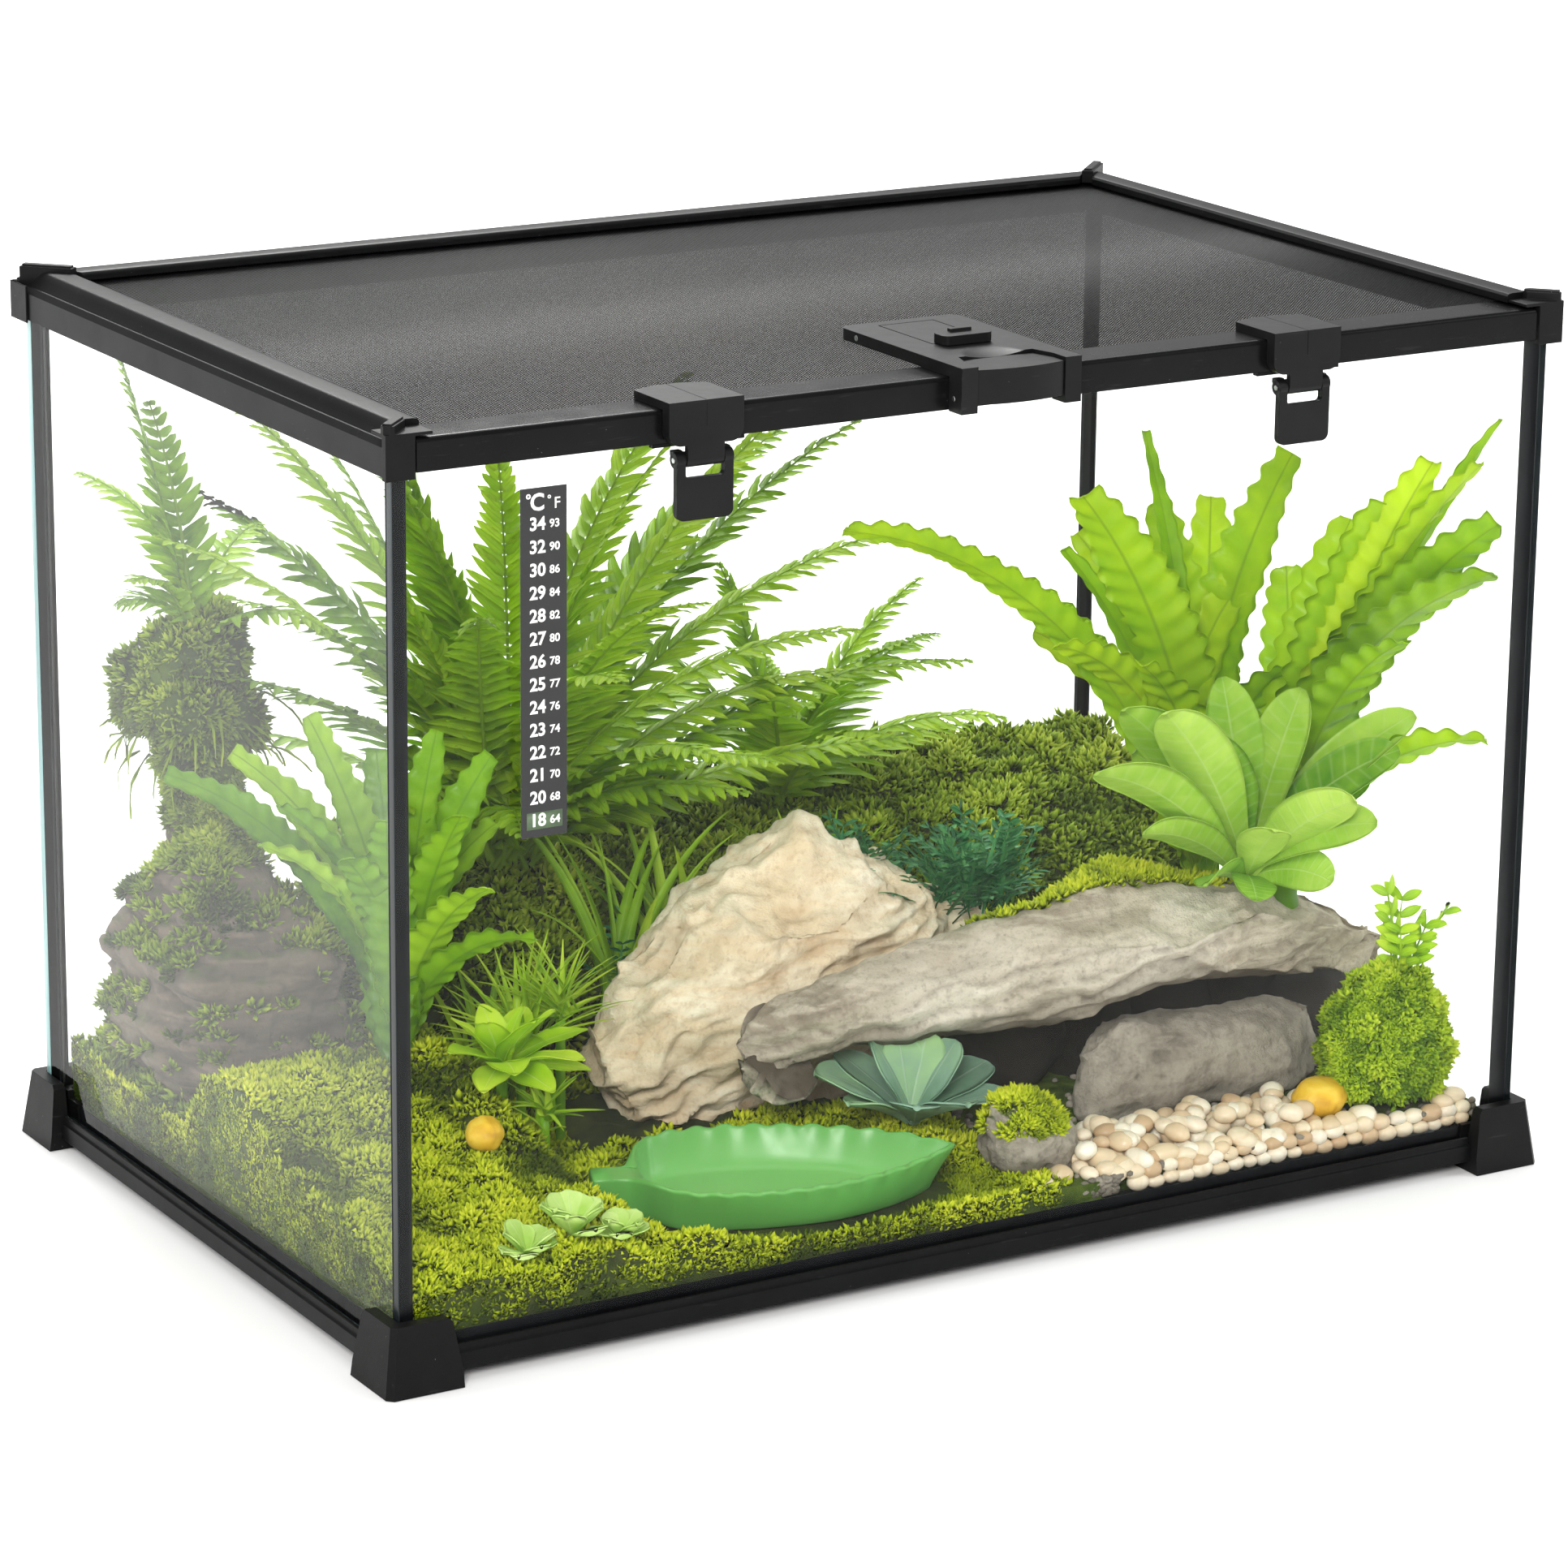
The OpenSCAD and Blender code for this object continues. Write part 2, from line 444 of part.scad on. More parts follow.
// ---------- leaf dish ----------
// outline of the leaf: stem at -X, tip at +X
function leaf_half(t) = t < 0.1 ? 0.12 : 0.12 + 0.88 * pow(sin(180 * pow((t - 0.1) / 0.9, 0.8)), 0.75);
function dish_pts(k) = concat(
  [for (i = [0 : 24]) let(t = i / 24) [dish_l * (t - 0.5) + (t < 0.05 ? k : t > 0.97 ? -k * 1.6 : 0),
     max(0.5, dish_w / 2 * leaf_half(t) - (t > 0.97 ? 0 : k))]],
  [for (i = [24 : -1 : 0]) let(t = i / 24) [dish_l * (t - 0.5) + (t < 0.05 ? k : t > 0.97 ? -k * 1.6 : 0),
     -max(0.5, dish_w / 2 * leaf_half(t) - (t > 0.97 ? 0 : k))]]);
module leaf_dish() color([0.33, 0.65, 0.3]) translate([-62, -104, zf + 0.2]) rotate([0, 0, -19]) difference() {
  linear_extrude(dish_h) polygon(dish_pts(0));
  translate([0, 0, 2.6]) linear_extrude(dish_h) polygon(dish_pts(2.4));
}

in_frame() glass_front();
in_frame() glass_rear();
in_frame() glass_left();
in_frame() glass_right();
in_frame() glass_bottom();
in_frame() silicone_seams();
in_frame() bottom_rail_front();
in_frame() bottom_rail_rear();
in_frame() bottom_rail_left();
in_frame() bottom_rail_right();
in_frame() foot_front_left();
in_frame() foot_front_right();
in_frame() foot_rear_left();
in_frame() foot_rear_right();
in_frame() top_rail_left();
in_frame() top_rail_right();
in_frame() top_rail_rear();
in_frame() front_glass_trim();
in_frame() cap_front_left();
in_frame() cap_front_right();
in_frame() cap_rear_left();
in_frame() cap_rear_right();
in_frame() lid_front_bar();
in_frame() lid_rear_bar();
in_frame() lid_left_bar();
in_frame() lid_right_bar();
in_frame() lid_screen();
in_frame() latch_housing();
in_frame() latch_lever();
in_frame() latch_pin();
in_frame() latch_button();
in_frame() latch_screws();
in_frame() clip_left_body();
in_frame() clip_left_lever();
in_frame() clip_left_pin();
in_frame() clip_right_body();
in_frame() clip_right_lever();
in_frame() clip_right_pin();
in_frame() thermometer_strip();
in_frame() substrate_bed();
in_frame() moss_mound_left();
in_frame() rear_mound();
in_frame() rock_wall();
in_frame() sandstone_rock();
in_frame() cave_slab();
in_frame() cave_boulder();
in_frame() small_grey_rock();
in_frame() river_pebbles();
in_frame() yellow_stones();
in_frame() moss_bush();
in_frame() boston_fern();
in_frame() strap_fern();
in_frame() birds_nest_fern();
in_frame() large_rosette();
in_frame() grey_rosette();
in_frame() small_rosette();
in_frame() grass_tufts();
in_frame() leaf_dish();
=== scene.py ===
import json
import math

import bmesh
import bpy
import numpy as np
from mathutils import Matrix, Vector

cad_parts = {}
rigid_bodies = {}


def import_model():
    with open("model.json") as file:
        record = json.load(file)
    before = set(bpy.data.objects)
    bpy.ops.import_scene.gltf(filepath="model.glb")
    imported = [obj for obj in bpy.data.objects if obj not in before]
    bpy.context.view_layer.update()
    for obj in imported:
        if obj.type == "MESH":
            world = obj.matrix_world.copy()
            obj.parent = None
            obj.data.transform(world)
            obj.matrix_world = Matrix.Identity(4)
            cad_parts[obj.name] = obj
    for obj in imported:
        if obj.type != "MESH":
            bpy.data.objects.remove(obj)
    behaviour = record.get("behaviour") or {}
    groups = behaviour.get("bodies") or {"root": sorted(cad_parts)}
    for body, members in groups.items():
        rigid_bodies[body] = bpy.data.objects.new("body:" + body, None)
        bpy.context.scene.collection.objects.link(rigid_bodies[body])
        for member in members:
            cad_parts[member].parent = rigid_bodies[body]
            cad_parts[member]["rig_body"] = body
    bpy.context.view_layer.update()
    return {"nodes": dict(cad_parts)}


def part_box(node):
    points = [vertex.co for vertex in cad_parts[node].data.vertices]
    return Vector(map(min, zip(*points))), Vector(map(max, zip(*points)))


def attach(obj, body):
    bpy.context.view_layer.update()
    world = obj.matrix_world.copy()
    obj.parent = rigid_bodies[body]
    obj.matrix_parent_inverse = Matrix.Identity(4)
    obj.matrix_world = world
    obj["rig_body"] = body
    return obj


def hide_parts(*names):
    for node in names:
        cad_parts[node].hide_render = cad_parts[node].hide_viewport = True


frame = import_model()
NODES = frame["nodes"]
RNG = np.random.default_rng(7)

# All positions below are in millimetres from the middle of the rails; YS moves them to the shared frame.
YS = 2.65
A, B = 250.0, 159.0


def to_m(v):
    v = np.asarray(v, float).reshape(-1, 3).copy()
    v[:, 1] += YS
    return v / 1000.0


# ------------------------------------------------------------------ noise
def _hash(ix, iy, iz, s):
    h = (ix.astype(np.uint32) * np.uint32(374761393) + iy.astype(np.uint32) * np.uint32(668265263)
         + iz.astype(np.uint32) * np.uint32(2246822519) + np.uint32((s * 3266489917) & 0xFFFFFFFF))
    h = (h ^ (h >> np.uint32(13))) * np.uint32(1274126177)
    h = (h ^ (h >> np.uint32(16))) * np.uint32(2654435761)
    return h ^ (h >> np.uint32(15))


def vnoise(p, s=0):
    p = np.asarray(p, float)
    i = np.floor(p).astype(np.int64)
    f = p - i
    u = f * f * f * (f * (f * 6 - 15) + 10)
    i = i + 100000
    out = np.zeros(len(p))
    for dx in (0, 1):
        wx = u[:, 0] if dx else 1 - u[:, 0]
        for dy in (0, 1):
            wy = u[:, 1] if dy else 1 - u[:, 1]
            for dz in (0, 1):
                wz = u[:, 2] if dz else 1 - u[:, 2]
                h = _hash(i[:, 0] + dx, i[:, 1] + dy, i[:, 2] + dz, s)
                out += wx * wy * wz * ((h & np.uint32(0xFFFFFF)).astype(float) / 0x7FFFFF - 1.0)
    return out


def fbm(p, octaves=4, s=0, gain=0.5):
    p = np.asarray(p, float)
    out, amp, tot = np.zeros(len(p)), 1.0, 0.0
    for k in range(octaves):
        out += amp * vnoise(p * (2.03 ** k) + 17.3 * k, s + 31 * k)
        tot += amp
        amp *= gain
    return out / tot


def ridged(p, octaves=4, s=0, gain=0.55):
    p = np.asarray(p, float)
    out, amp, tot = np.zeros(len(p)), 1.0, 0.0
    for k in range(octaves):
        out += amp * (1 - 2 * np.abs(vnoise(p * (2.07 ** k) + 9.7 * k, s + 53 * k)))
        tot += amp
        amp *= gain
    return out / tot


def cells(p, s=0):
    """Distance to the nearest of one jittered point per unit cell, and that cell's random number."""
    p = np.asarray(p, float)
    i = np.floor(p).astype(np.int64)
    best = np.full(len(p), 9.0)
    rnd = np.zeros(len(p))
    for dx in (-1, 0, 1):
        for dy in (-1, 0, 1):
            for dz in (-1, 0, 1):
                c = i + np.array([dx, dy, dz])
                k = c + 100000
                q = np.stack([(_hash(k[:, 0], k[:, 1], k[:, 2], s + t) & np.uint32(0xFFFF)).astype(float) / 0xFFFF
                              for t in (1, 2, 3)], 1)
                d = np.linalg.norm(c + q - p, axis=1)
                near = d < best
                best = np.where(near, d, best)
                rnd = np.where(near, q[:, 0], rnd)
    return best, rnd


def smooth(x, a, b):
    t = np.clip((np.asarray(x, float) - a) / (b - a), 0, 1)
    return t * t * (3 - 2 * t)


# ------------------------------------------------------------------ meshes
class Buf:
    """Collects vertices, faces and per-vertex numbers for one piece. Positions in millimetres."""

    def __init__(self):
        self.v, self.f, self.a, self.n = [], [], {}, 0

    def add(self, v, faces, **attrs):
        v = np.asarray(v, float).reshape(-1, 3)
        for f in faces:
            f = np.asarray(f, np.int64)
            if len(f):
                self.f.append(f + self.n)
        self.v.append(v)
        for k in ("la", "lc", "lr"):
            x = attrs.get(k, 0.0)
            self.a.setdefault(k, []).append(np.broadcast_to(np.asarray(x, float), (len(v),)).copy())
        self.n += len(v)


def mesh_from(name, v, faces, attrs=None):
    me = bpy.data.meshes.new(name)
    v = np.asarray(v, np.float32)
    me.vertices.add(len(v))
    me.vertices.foreach_set("co", v.ravel())
    idx = np.concatenate([f.ravel() for f in faces]).astype(np.int32)
    sizes = np.concatenate([np.full(len(f), f.shape[1]) for f in faces])
    starts = np.concatenate([[0], np.cumsum(sizes)[:-1]]).astype(np.int32)
    me.loops.add(len(idx))
    me.loops.foreach_set("vertex_index", idx)
    me.polygons.add(len(sizes))
    me.polygons.foreach_set("loop_start", starts)
    me.update(calc_edges=True)
    me.validate()
    for k, x in (attrs or {}).items():
        at = me.attributes.new(k, "FLOAT", "POINT")
        at.data.foreach_set("value", np.asarray(x, np.float32))
    return me


def place(name, me, mat, body, replaces=(), smooth_angle=None):
    ob = bpy.data.objects.new(name, me)
    bpy.context.scene.collection.objects.link(ob)
    for m in (mat if isinstance(mat, (list, tuple)) else [mat]):
        me.materials.append(m)
    if smooth_angle is None:
        me.polygons.foreach_set("use_smooth", np.ones(len(me.polygons), bool))
    elif smooth_angle > 0:
        me.polygons.foreach_set("use_smooth", np.ones(len(me.polygons), bool))
        me.set_sharp_from_angle(angle=math.radians(smooth_angle))
    me.update()
    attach(ob, body)
    if replaces:
        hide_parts(*replaces)
    return ob


def buf_piece(name, buf, mat, body="tank", replaces=(), smooth_angle=None):
    at = {k: np.concatenate(x) for k, x in buf.a.items()}
    me = mesh_from(name, to_m(np.concatenate(buf.v)), buf.f, at)
    return place(name, me, mat, body, replaces, smooth_angle)


def applied(ob):
    """Bakes the modifiers of ob into its mesh."""
    dg = bpy.context.evaluated_depsgraph_get()
    me = bpy.data.meshes.new_from_object(ob.evaluated_get(dg), preserve_all_data_layers=True, depsgraph=dg)
    old = ob.data
    ob.modifiers.clear()
    ob.data = me
    bpy.data.meshes.remove(old)
    return me


def cad_copy(node, name):
    me = NODES[node].data.copy()
    me.name = name
    me.materials.clear()
    ob = bpy.data.objects.new(name, me)
    bpy.context.scene.collection.objects.link(ob)
    return ob


def grid_faces(nu, nv, wrap_u=False, wrap_v=False, flip=False):
    """Quads of a grid of nu x nv points, row-major in u."""
    iu = np.arange(nu if wrap_u else nu - 1)
    iv = np.arange(nv if wrap_v else nv - 1)
    u, v = np.meshgrid(iu, iv, indexing="ij")
    u, v = u.ravel(), v.ravel()
    u2, v2 = (u + 1) % nu, (v + 1) % nv
    q = np.stack([u * nv + v, u2 * nv + v, u2 * nv + v2, u * nv + v2], 1)
    return q[:, ::-1] if flip else q


# ------------------------------------------------------------------ materials
class Mat:
    """Small helper that builds a node material."""

    def __init__(self, name):
        self.m = bpy.data.materials.new(name)
        self.m.use_nodes = True
        self.t = self.m.node_tree
        self.t.nodes.clear()
        self.out = self.t.nodes.new("ShaderNodeOutputMaterial")
        self.coord = None

    def n(self, kind, **props):
        x = self.t.nodes.new("ShaderNode" + kind)
        for k, v in props.items():
            setattr(x, k, v)
        return x

    def link(self, a, b):
        self.t.links.new(a, b)

    def obj(self):
        if self.coord is None:
            self.coord = self.n("TexCoord")
        return self.coord.outputs["Object"]

    def attr(self, name):
        return self.n("Attribute", attribute_name=name).outputs["Fac"]

    def noise(self, scale, detail=3.0, rough=0.55, distortion=0.0, vec=None, stretch=None):
        x = self.n("TexNoise")
        x.inputs["Scale"].default_value = scale
        x.inputs["Detail"].default_value = detail
        x.inputs["Roughness"].default_value = rough
        x.inputs["Distortion"].default_value = distortion
        src = vec or self.obj()
        if stretch:
            mp = self.n("Mapping")
            mp.inputs["Scale"].default_value = stretch
            self.link(src, mp.inputs["Vector"])
            src = mp.outputs["Vector"]
        self.link(src, x.inputs["Vector"])
        return x.outputs["Fac"]

    def voronoi(self, scale, feature="F1", out="Distance", rand=1.0, vec=None):
        x = self.n("TexVoronoi", feature=feature)
        x.inputs["Scale"].default_value = scale
        x.inputs["Randomness"].default_value = rand
        self.link(vec or self.obj(), x.inputs["Vector"])
        return x.outputs[out]

    def ramp(self, fac, stops, interp="LINEAR"):
        x = self.n("ValToRGB")
        x.color_ramp.interpolation = interp
        els = x.color_ramp.elements
        while len(els) < len(stops):
            els.new(0.5)
        for e, (p, c) in zip(els, stops):
            e.position = p
            e.color = tuple(c) + (1.0,) if len(c) == 3 else tuple(c)
        self.link(fac, x.inputs["Fac"])
        return x.outputs["Color"]

    def maths(self, op, a, b=None, clamp=False):
        x = self.n("Math", operation=op, use_clamp=clamp)
        for i, v in enumerate((a, b)):
            if v is None:
                continue
            if isinstance(v, (int, float)):
                x.inputs[i].default_value = v
            else:
                self.link(v, x.inputs[i])
        return x.outputs[0]

    def mix(self, fac, a, b, blend="MIX"):
        x = self.n("Mix", data_type="RGBA", blend_type=blend)
        for sock, v in ((x.inputs["Factor"], fac), (x.inputs["A"] if False else x.inputs[6], a), (x.inputs[7], b)):
            if isinstance(v, (int, float)):
                sock.default_value = v
            elif isinstance(v, (tuple, list)):
                sock.default_value = tuple(v) + (1.0,)
            else:
                self.link(v, sock)
        return x.outputs[2]

    def bump(self, height, strength=0.3, distance=0.001, normal=None):
        x = self.n("Bump")
        x.inputs["Strength"].default_value = strength
        x.inputs["Distance"].default_value = distance
        self.link(height, x.inputs["Height"])
        if normal is not None:
            self.link(normal, x.inputs["Normal"])
        return x.outputs["Normal"]

    def principled(self, color=None, rough=None, normal=None, **const):
        x = self.n("BsdfPrincipled")
        for k, v in (("Base Color", color), ("Roughness", rough), ("Normal", normal)):
            if v is None:
                continue
            if isinstance(v, (int, float)):
                x.inputs[k].default_value = v
            elif isinstance(v, (tuple, list)):
                x.inputs[k].default_value = tuple(v) + (1.0,)
            else:
                self.link(v, x.inputs[k])
        for k, v in const.items():
            x.inputs[k.replace("_", " ")].default_value = v
        return x

    def done(self, shader):
        self.link(shader if not hasattr(shader, "outputs") else shader.outputs[0], self.out.inputs["Surface"])
        return self.m


def plastic(name, base, rough=0.36, grain=0.25, speck=0.5, spec=0.5, dust=0.0):
    """Black moulded plastic: slight mottling, a fine grain, a few pale specks of dust and lighter scuffs."""
    m = Mat(name)
    tone = m.noise(26.0, 4.0, 0.6)
    c = m.ramp(tone, [(0.3, [x * 0.75 for x in base]), (0.7, [x * 1.35 for x in base])])
    sp = m.voronoi(420.0, out="Distance")
    spn = m.noise(90.0, 2.0)
    s1 = m.maths("LESS_THAN", sp, 0.055)
    s2 = m.maths("GREATER_THAN", spn, 0.60)
    sf = m.maths("MULTIPLY", m.maths("MULTIPLY", s1, s2), speck)
    c = m.mix(sf, c, (0.34, 0.34, 0.33))
    scr = m.noise(60.0, 3.0, 0.5, 0.4, stretch=(1.0, 9.0, 9.0))
    sc = m.ramp(scr, [(0.66, (0, 0, 0)), (0.72, (1, 1, 1))])
    c = m.mix(m.maths("MULTIPLY", sc, 0.05 + dust), c, (0.12, 0.12, 0.12))
    r = m.n("MapRange")
    r.inputs["From Min"].default_value, r.inputs["From Max"].default_value = 0.3, 0.7
    r.inputs["To Min"].default_value, r.inputs["To Max"].default_value = rough - 0.03, rough + 0.04
    m.link(m.noise(70.0, 4.0, 0.6), r.inputs["Value"])
    g = m.noise(2600.0, 2.0, 0.5)
    lo = m.noise(55.0, 2.0, 0.5)
    nb = m.bump(lo, 0.05, 0.0008)
    nb = m.bump(g, grain, 0.00012, nb)
    return m.done(m.principled(c, r.outputs["Result"], nb, Specular_IOR_Level=spec * 0.5))


M = {}
M["rail"] = plastic("rail_black", (0.0046, 0.0046, 0.0050), 0.38, 0.22, 0.35, 0.20)
M["rail_gloss"] = plastic("rail_gloss", (0.0038, 0.0038, 0.0040), 0.24, 0.10, 0.45, 0.24)
M["mould"] = plastic("moulded_black", (0.0060, 0.0060, 0.0062), 0.42, 0.40, 0.6, 0.22)
M["foot"] = plastic("foot_black", (0.0060, 0.0060, 0.0062), 0.42, 0.45, 0.7, 0.22, dust=0.03)
M["latch"] = plastic("latch_black", (0.0070, 0.0070, 0.0072), 0.38, 0.30, 0.4, 0.26)


def make_glass():
    """Clear float glass: lets lamps through, mirrors a little face on and more at grazing angles."""
    m = Mat("clear_glass")
    tr = m.n("BsdfTransparent")
    tr.inputs["Color"].default_value = (0.985, 0.995, 0.99, 1)
    gl = m.n("BsdfGlossy")
    gl.inputs["Color"].default_value = (1, 1, 1, 1)
    rr = m.ramp(m.noise(9.0, 3.0), [(0.45, (0.0, 0.0, 0.0)), (0.75, (0.03, 0.03, 0.03))])
    m.link(rr, gl.inputs["Roughness"])
    lw = m.n("LayerWeight")
    lw.inputs["Blend"].default_value = 0.5
    f = m.maths("MULTIPLY", m.maths("POWER", lw.outputs["Facing"], 4.2), 0.46)
    f = m.maths("ADD", f, 0.007)
    sm = m.ramp(m.noise(5.0, 4.0, 0.6), [(0.4, (0.85, 0.85, 0.85)), (0.8, (1, 1, 1))])
    f = m.maths("MULTIPLY", f, sm, clamp=True)
    mx = m.n("MixShader")
    m.link(f, mx.inputs[0])
    m.link(tr.outputs[0], mx.inputs[1])
    m.link(gl.outputs[0], mx.inputs[2])
    return m.done(mx)


def make_edge():
    """The cut edge of a pane with the black joint behind it: nearly black with a faint grey line."""
    m = Mat("glass_edge")
    t = m.noise(140.0, 3.0, 0.5, stretch=(1.0, 1.0, 0.05))
    c = m.ramp(t, [(0.25, (0.004, 0.006, 0.007)), (0.5, (0.010, 0.014, 0.016)), (0.8, (0.035, 0.046, 0.050))])
    nb = m.bump(m.noise(900.0, 2.0, stretch=(1, 1, 0.2)), 0.2, 0.0001)
    return m.done(m.principled(c, 0.22, nb, Specular_IOR_Level=0.25))


def make_edge_green():
    """The polished edge of a pane seen along the glass: pale blue-green."""
    m = Mat("glass_edge_green")
    t = m.noise(140.0, 3.0, 0.5, stretch=(1.0, 1.0, 0.05))
    c = m.ramp(t, [(0.25, (0.09, 0.19, 0.19)), (0.5, (0.22, 0.38, 0.38)), (0.8, (0.50, 0.66, 0.65))])
    nb = m.bump(m.noise(900.0, 2.0, stretch=(1, 1, 0.2)), 0.2, 0.0001)
    return m.done(m.principled(c, 0.15, nb, Specular_IOR_Level=0.5))


M["glass"] = make_glass()
M["edge"] = make_edge()
M["edge_green"] = make_edge_green()


def make_silicone():
    m = Mat("black_silicone")
    c = m.ramp(m.noise(40.0, 4.0), [(0.3, (0.003, 0.003, 0.004)), (0.75, (0.008, 0.009, 0.010))])
    nb = m.bump(m.noise(170.0, 4.0, 0.6, 0.3, stretch=(1, 1, 0.12)), 0.5, 0.0005)
    return m.done(m.principled(c, 0.30, nb, Specular_IOR_Level=0.16))


def make_wire():
    m = Mat("screen_wire")
    c = m.ramp(m.noise(420.0, 2.0), [(0.3, (0.004, 0.004, 0.0045)), (0.8, (0.014, 0.014, 0.015))])
    nb = m.bump(m.noise(2600.0, 2.0), 0.2, 0.0001)
    return m.done(m.principled(c, 0.45, nb, Specular_IOR_Level=0.25))


def make_steel():
    m = Mat("pin_steel")
    c = m.ramp(m.noise(300.0, 3.0, stretch=(0.2, 1, 1)), [(0.3, (0.32, 0.32, 0.33)), (0.7, (0.62, 0.62, 0.63))])
    nb = m.bump(m.noise(1400.0, 2.0, stretch=(0.1, 1, 1)), 0.25, 0.0001)
    return m.done(m.principled(c, 0.28, nb, Metallic=1.0))


M["silicone"] = make_silicone()
M["wire"] = make_wire()
M["steel"] = make_steel()


def make_strip():
    m = Mat("strip_black")
    c = m.ramp(m.noise(80.0, 4.0), [(0.3, (0.005, 0.005, 0.006)), (0.8, (0.011, 0.011, 0.013))])
    nb = m.bump(m.noise(300.0, 3.0, stretch=(1, 1, 0.4)), 0.12, 0.0002)
    r = m.ramp(m.noise(30.0, 3.0), [(0.3, (0.20, 0.20, 0.20)), (0.8, (0.32, 0.32, 0.32))])
    return m.done(m.principled(c, r, nb))


def make_ink(name, lo, hi, rough=0.45):
    m = Mat(name)
    c = m.ramp(m.noise(160.0, 4.0), [(0.3, lo), (0.75, hi)])
    nb = m.bump(m.noise(900.0, 2.0), 0.15, 0.00005)
    return m.done(m.principled(c, rough, nb))


M["strip"] = make_strip()
M["ink"] = make_ink("strip_white", (0.72, 0.72, 0.70), (0.86, 0.86, 0.84))
M["cell"] = make_ink("strip_green_cell", (0.05, 0.085, 0.045), (0.10, 0.16, 0.075))


def make_dish():
    m = Mat("dish_green")
    c = m.ramp(m.noise(14.0, 4.0, 0.6), [(0.3, (0.10, 0.34, 0.060)), (0.7, (0.14, 0.42, 0.085))])
    # painted light: the inside of the bowl, towards its floor, is lighter green by la, where it faces up to the light
    la = m.attr("la")
    c = m.mix(m.maths("MULTIPLY", la, 0.55), c, (0.27, 0.60, 0.19))
    fine = m.noise(1300.0, 3.0, 0.6)
    r = m.ramp(m.noise(60.0, 3.0), [(0.3, (0.33, 0.33, 0.33)), (0.75, (0.46, 0.46, 0.46))])
    nb = m.bump(fine, 0.18, 0.0002, m.bump(m.noise(120.0, 3.0), 0.12, 0.0006))
    return m.done(m.principled(c, r, nb, Subsurface_Weight=0.18, Subsurface_Scale=0.004,
                               Coat_Weight=0.15, Coat_Roughness=0.35))


M["dish"] = make_dish()


def foliage(name, dark, mid, light, rough=0.38, glow=0.35, vein=(0.6, 0.75, 0.25), vein_w=0.07, side_veins=0.0, bump=0.35):
    """Leaf: la runs base to tip, lc across, lr a number per leaf. Colour by leaf, vein lines, light through it."""
    m = Mat(name)
    lr, la, lc = m.attr("lr"), m.attr("la"), m.attr("lc")
    t = m.maths("ADD", m.maths("MULTIPLY", lr, 0.62), m.maths("MULTIPLY", la, 0.30))
    t = m.maths("ADD", t, m.maths("MULTIPLY", m.maths("SUBTRACT", m.noise(95.0, 4.0, 0.6), 0.5), 0.7), clamp=True)
    c = m.ramp(t, [(0.05, dark), (0.45, mid), (0.9, light)])
    ab = m.maths("ABSOLUTE", lc)
    v = m.maths("SUBTRACT", 1.0, m.maths("DIVIDE", ab, vein_w), clamp=True)
    c = m.mix(m.maths("MULTIPLY", v, 0.6), c, vein)
    height = m.maths("MULTIPLY", v, -0.8)
    if side_veins:
        s = m.maths("SINE", m.maths("MULTIPLY", m.maths("SUBTRACT", la, m.maths("MULTIPLY", ab, 0.05)), side_veins))
        sv = m.maths("POWER", m.maths("MULTIPLY", m.maths("ADD", s, 1.0), 0.5), 8.0)
        c = m.mix(m.maths("MULTIPLY", sv, 0.22), c, vein)
        height = m.maths("ADD", height, m.maths("MULTIPLY", sv, -0.6))
    height = m.maths("ADD", height, m.maths("MULTIPLY", m.noise(700.0, 3.0), 0.5))
    nb = m.bump(height, bump, 0.0004)
    r = m.ramp(m.noise(120.0, 3.0), [(0.3, (rough - 0.05,) * 3), (0.75, (rough + 0.1,) * 3)])
    p = m.principled(c, r, nb, Specular_IOR_Level=0.32)
    tr = m.n("BsdfTranslucent")
    m.link(m.mix(0.5, c, m.mix(1.0, c, (0.95, 1.0, 0.35), "MULTIPLY")), tr.inputs["Color"])
    m.link(nb, tr.inputs["Normal"])
    mx = m.n("MixShader")
    mx.inputs[0].default_value = glow
    m.link(p.outputs[0], mx.inputs[1])
    m.link(tr.outputs[0], mx.inputs[2])
    return m.done(mx)


M["fern"] = foliage("fern_leaf", (0.12, 0.27, 0.006), (0.42, 0.66, 0.012), (0.72, 0.90, 0.06), 0.42, 0.46, (0.30, 0.46, 0.04), 0.14)
M["strap"] = foliage("strap_leaf", (0.08, 0.23, 0.004), (0.25, 0.50, 0.010), (0.50, 0.74, 0.03), 0.34, 0.38, (0.13, 0.29, 0.02), 0.10, 0.0)
M["bird"] = foliage("bird_leaf", (0.14, 0.34, 0.004), (0.36, 0.61, 0.008), (0.66, 0.84, 0.015), 0.36, 0.42, (0.20, 0.34, 0.02), 0.08, 0.0)
M["rosette"] = foliage("rosette_leaf", (0.08, 0.30, 0.012), (0.34, 0.60, 0.045), (0.60, 0.80, 0.14), 0.40, 0.30, (0.58, 0.76, 0.26), 0.06, 90.0)
M["succulent"] = foliage("succulent_leaf", (0.12, 0.25, 0.14), (0.28, 0.45, 0.33), (0.42, 0.66, 0.30), 0.45, 0.12, (0.50, 0.64, 0.50), 0.06)
M["jade"] = foliage("jade_leaf", (0.20, 0.42, 0.04), (0.42, 0.66, 0.10), (0.66, 0.84, 0.28), 0.42, 0.20, (0.66, 0.84, 0.36), 0.06)
M["bright"] = foliage("bright_leaf", (0.20, 0.46, 0.008), (0.52, 0.78, 0.02), (0.80, 0.94, 0.08), 0.36, 0.36, (0.84, 0.94, 0.30), 0.08)
M["grass"] = foliage("grass_blade", (0.12, 0.32, 0.008), (0.36, 0.62, 0.015), (0.64, 0.84, 0.05), 0.38, 0.40, (0.5, 0.66, 0.15), 0.15)
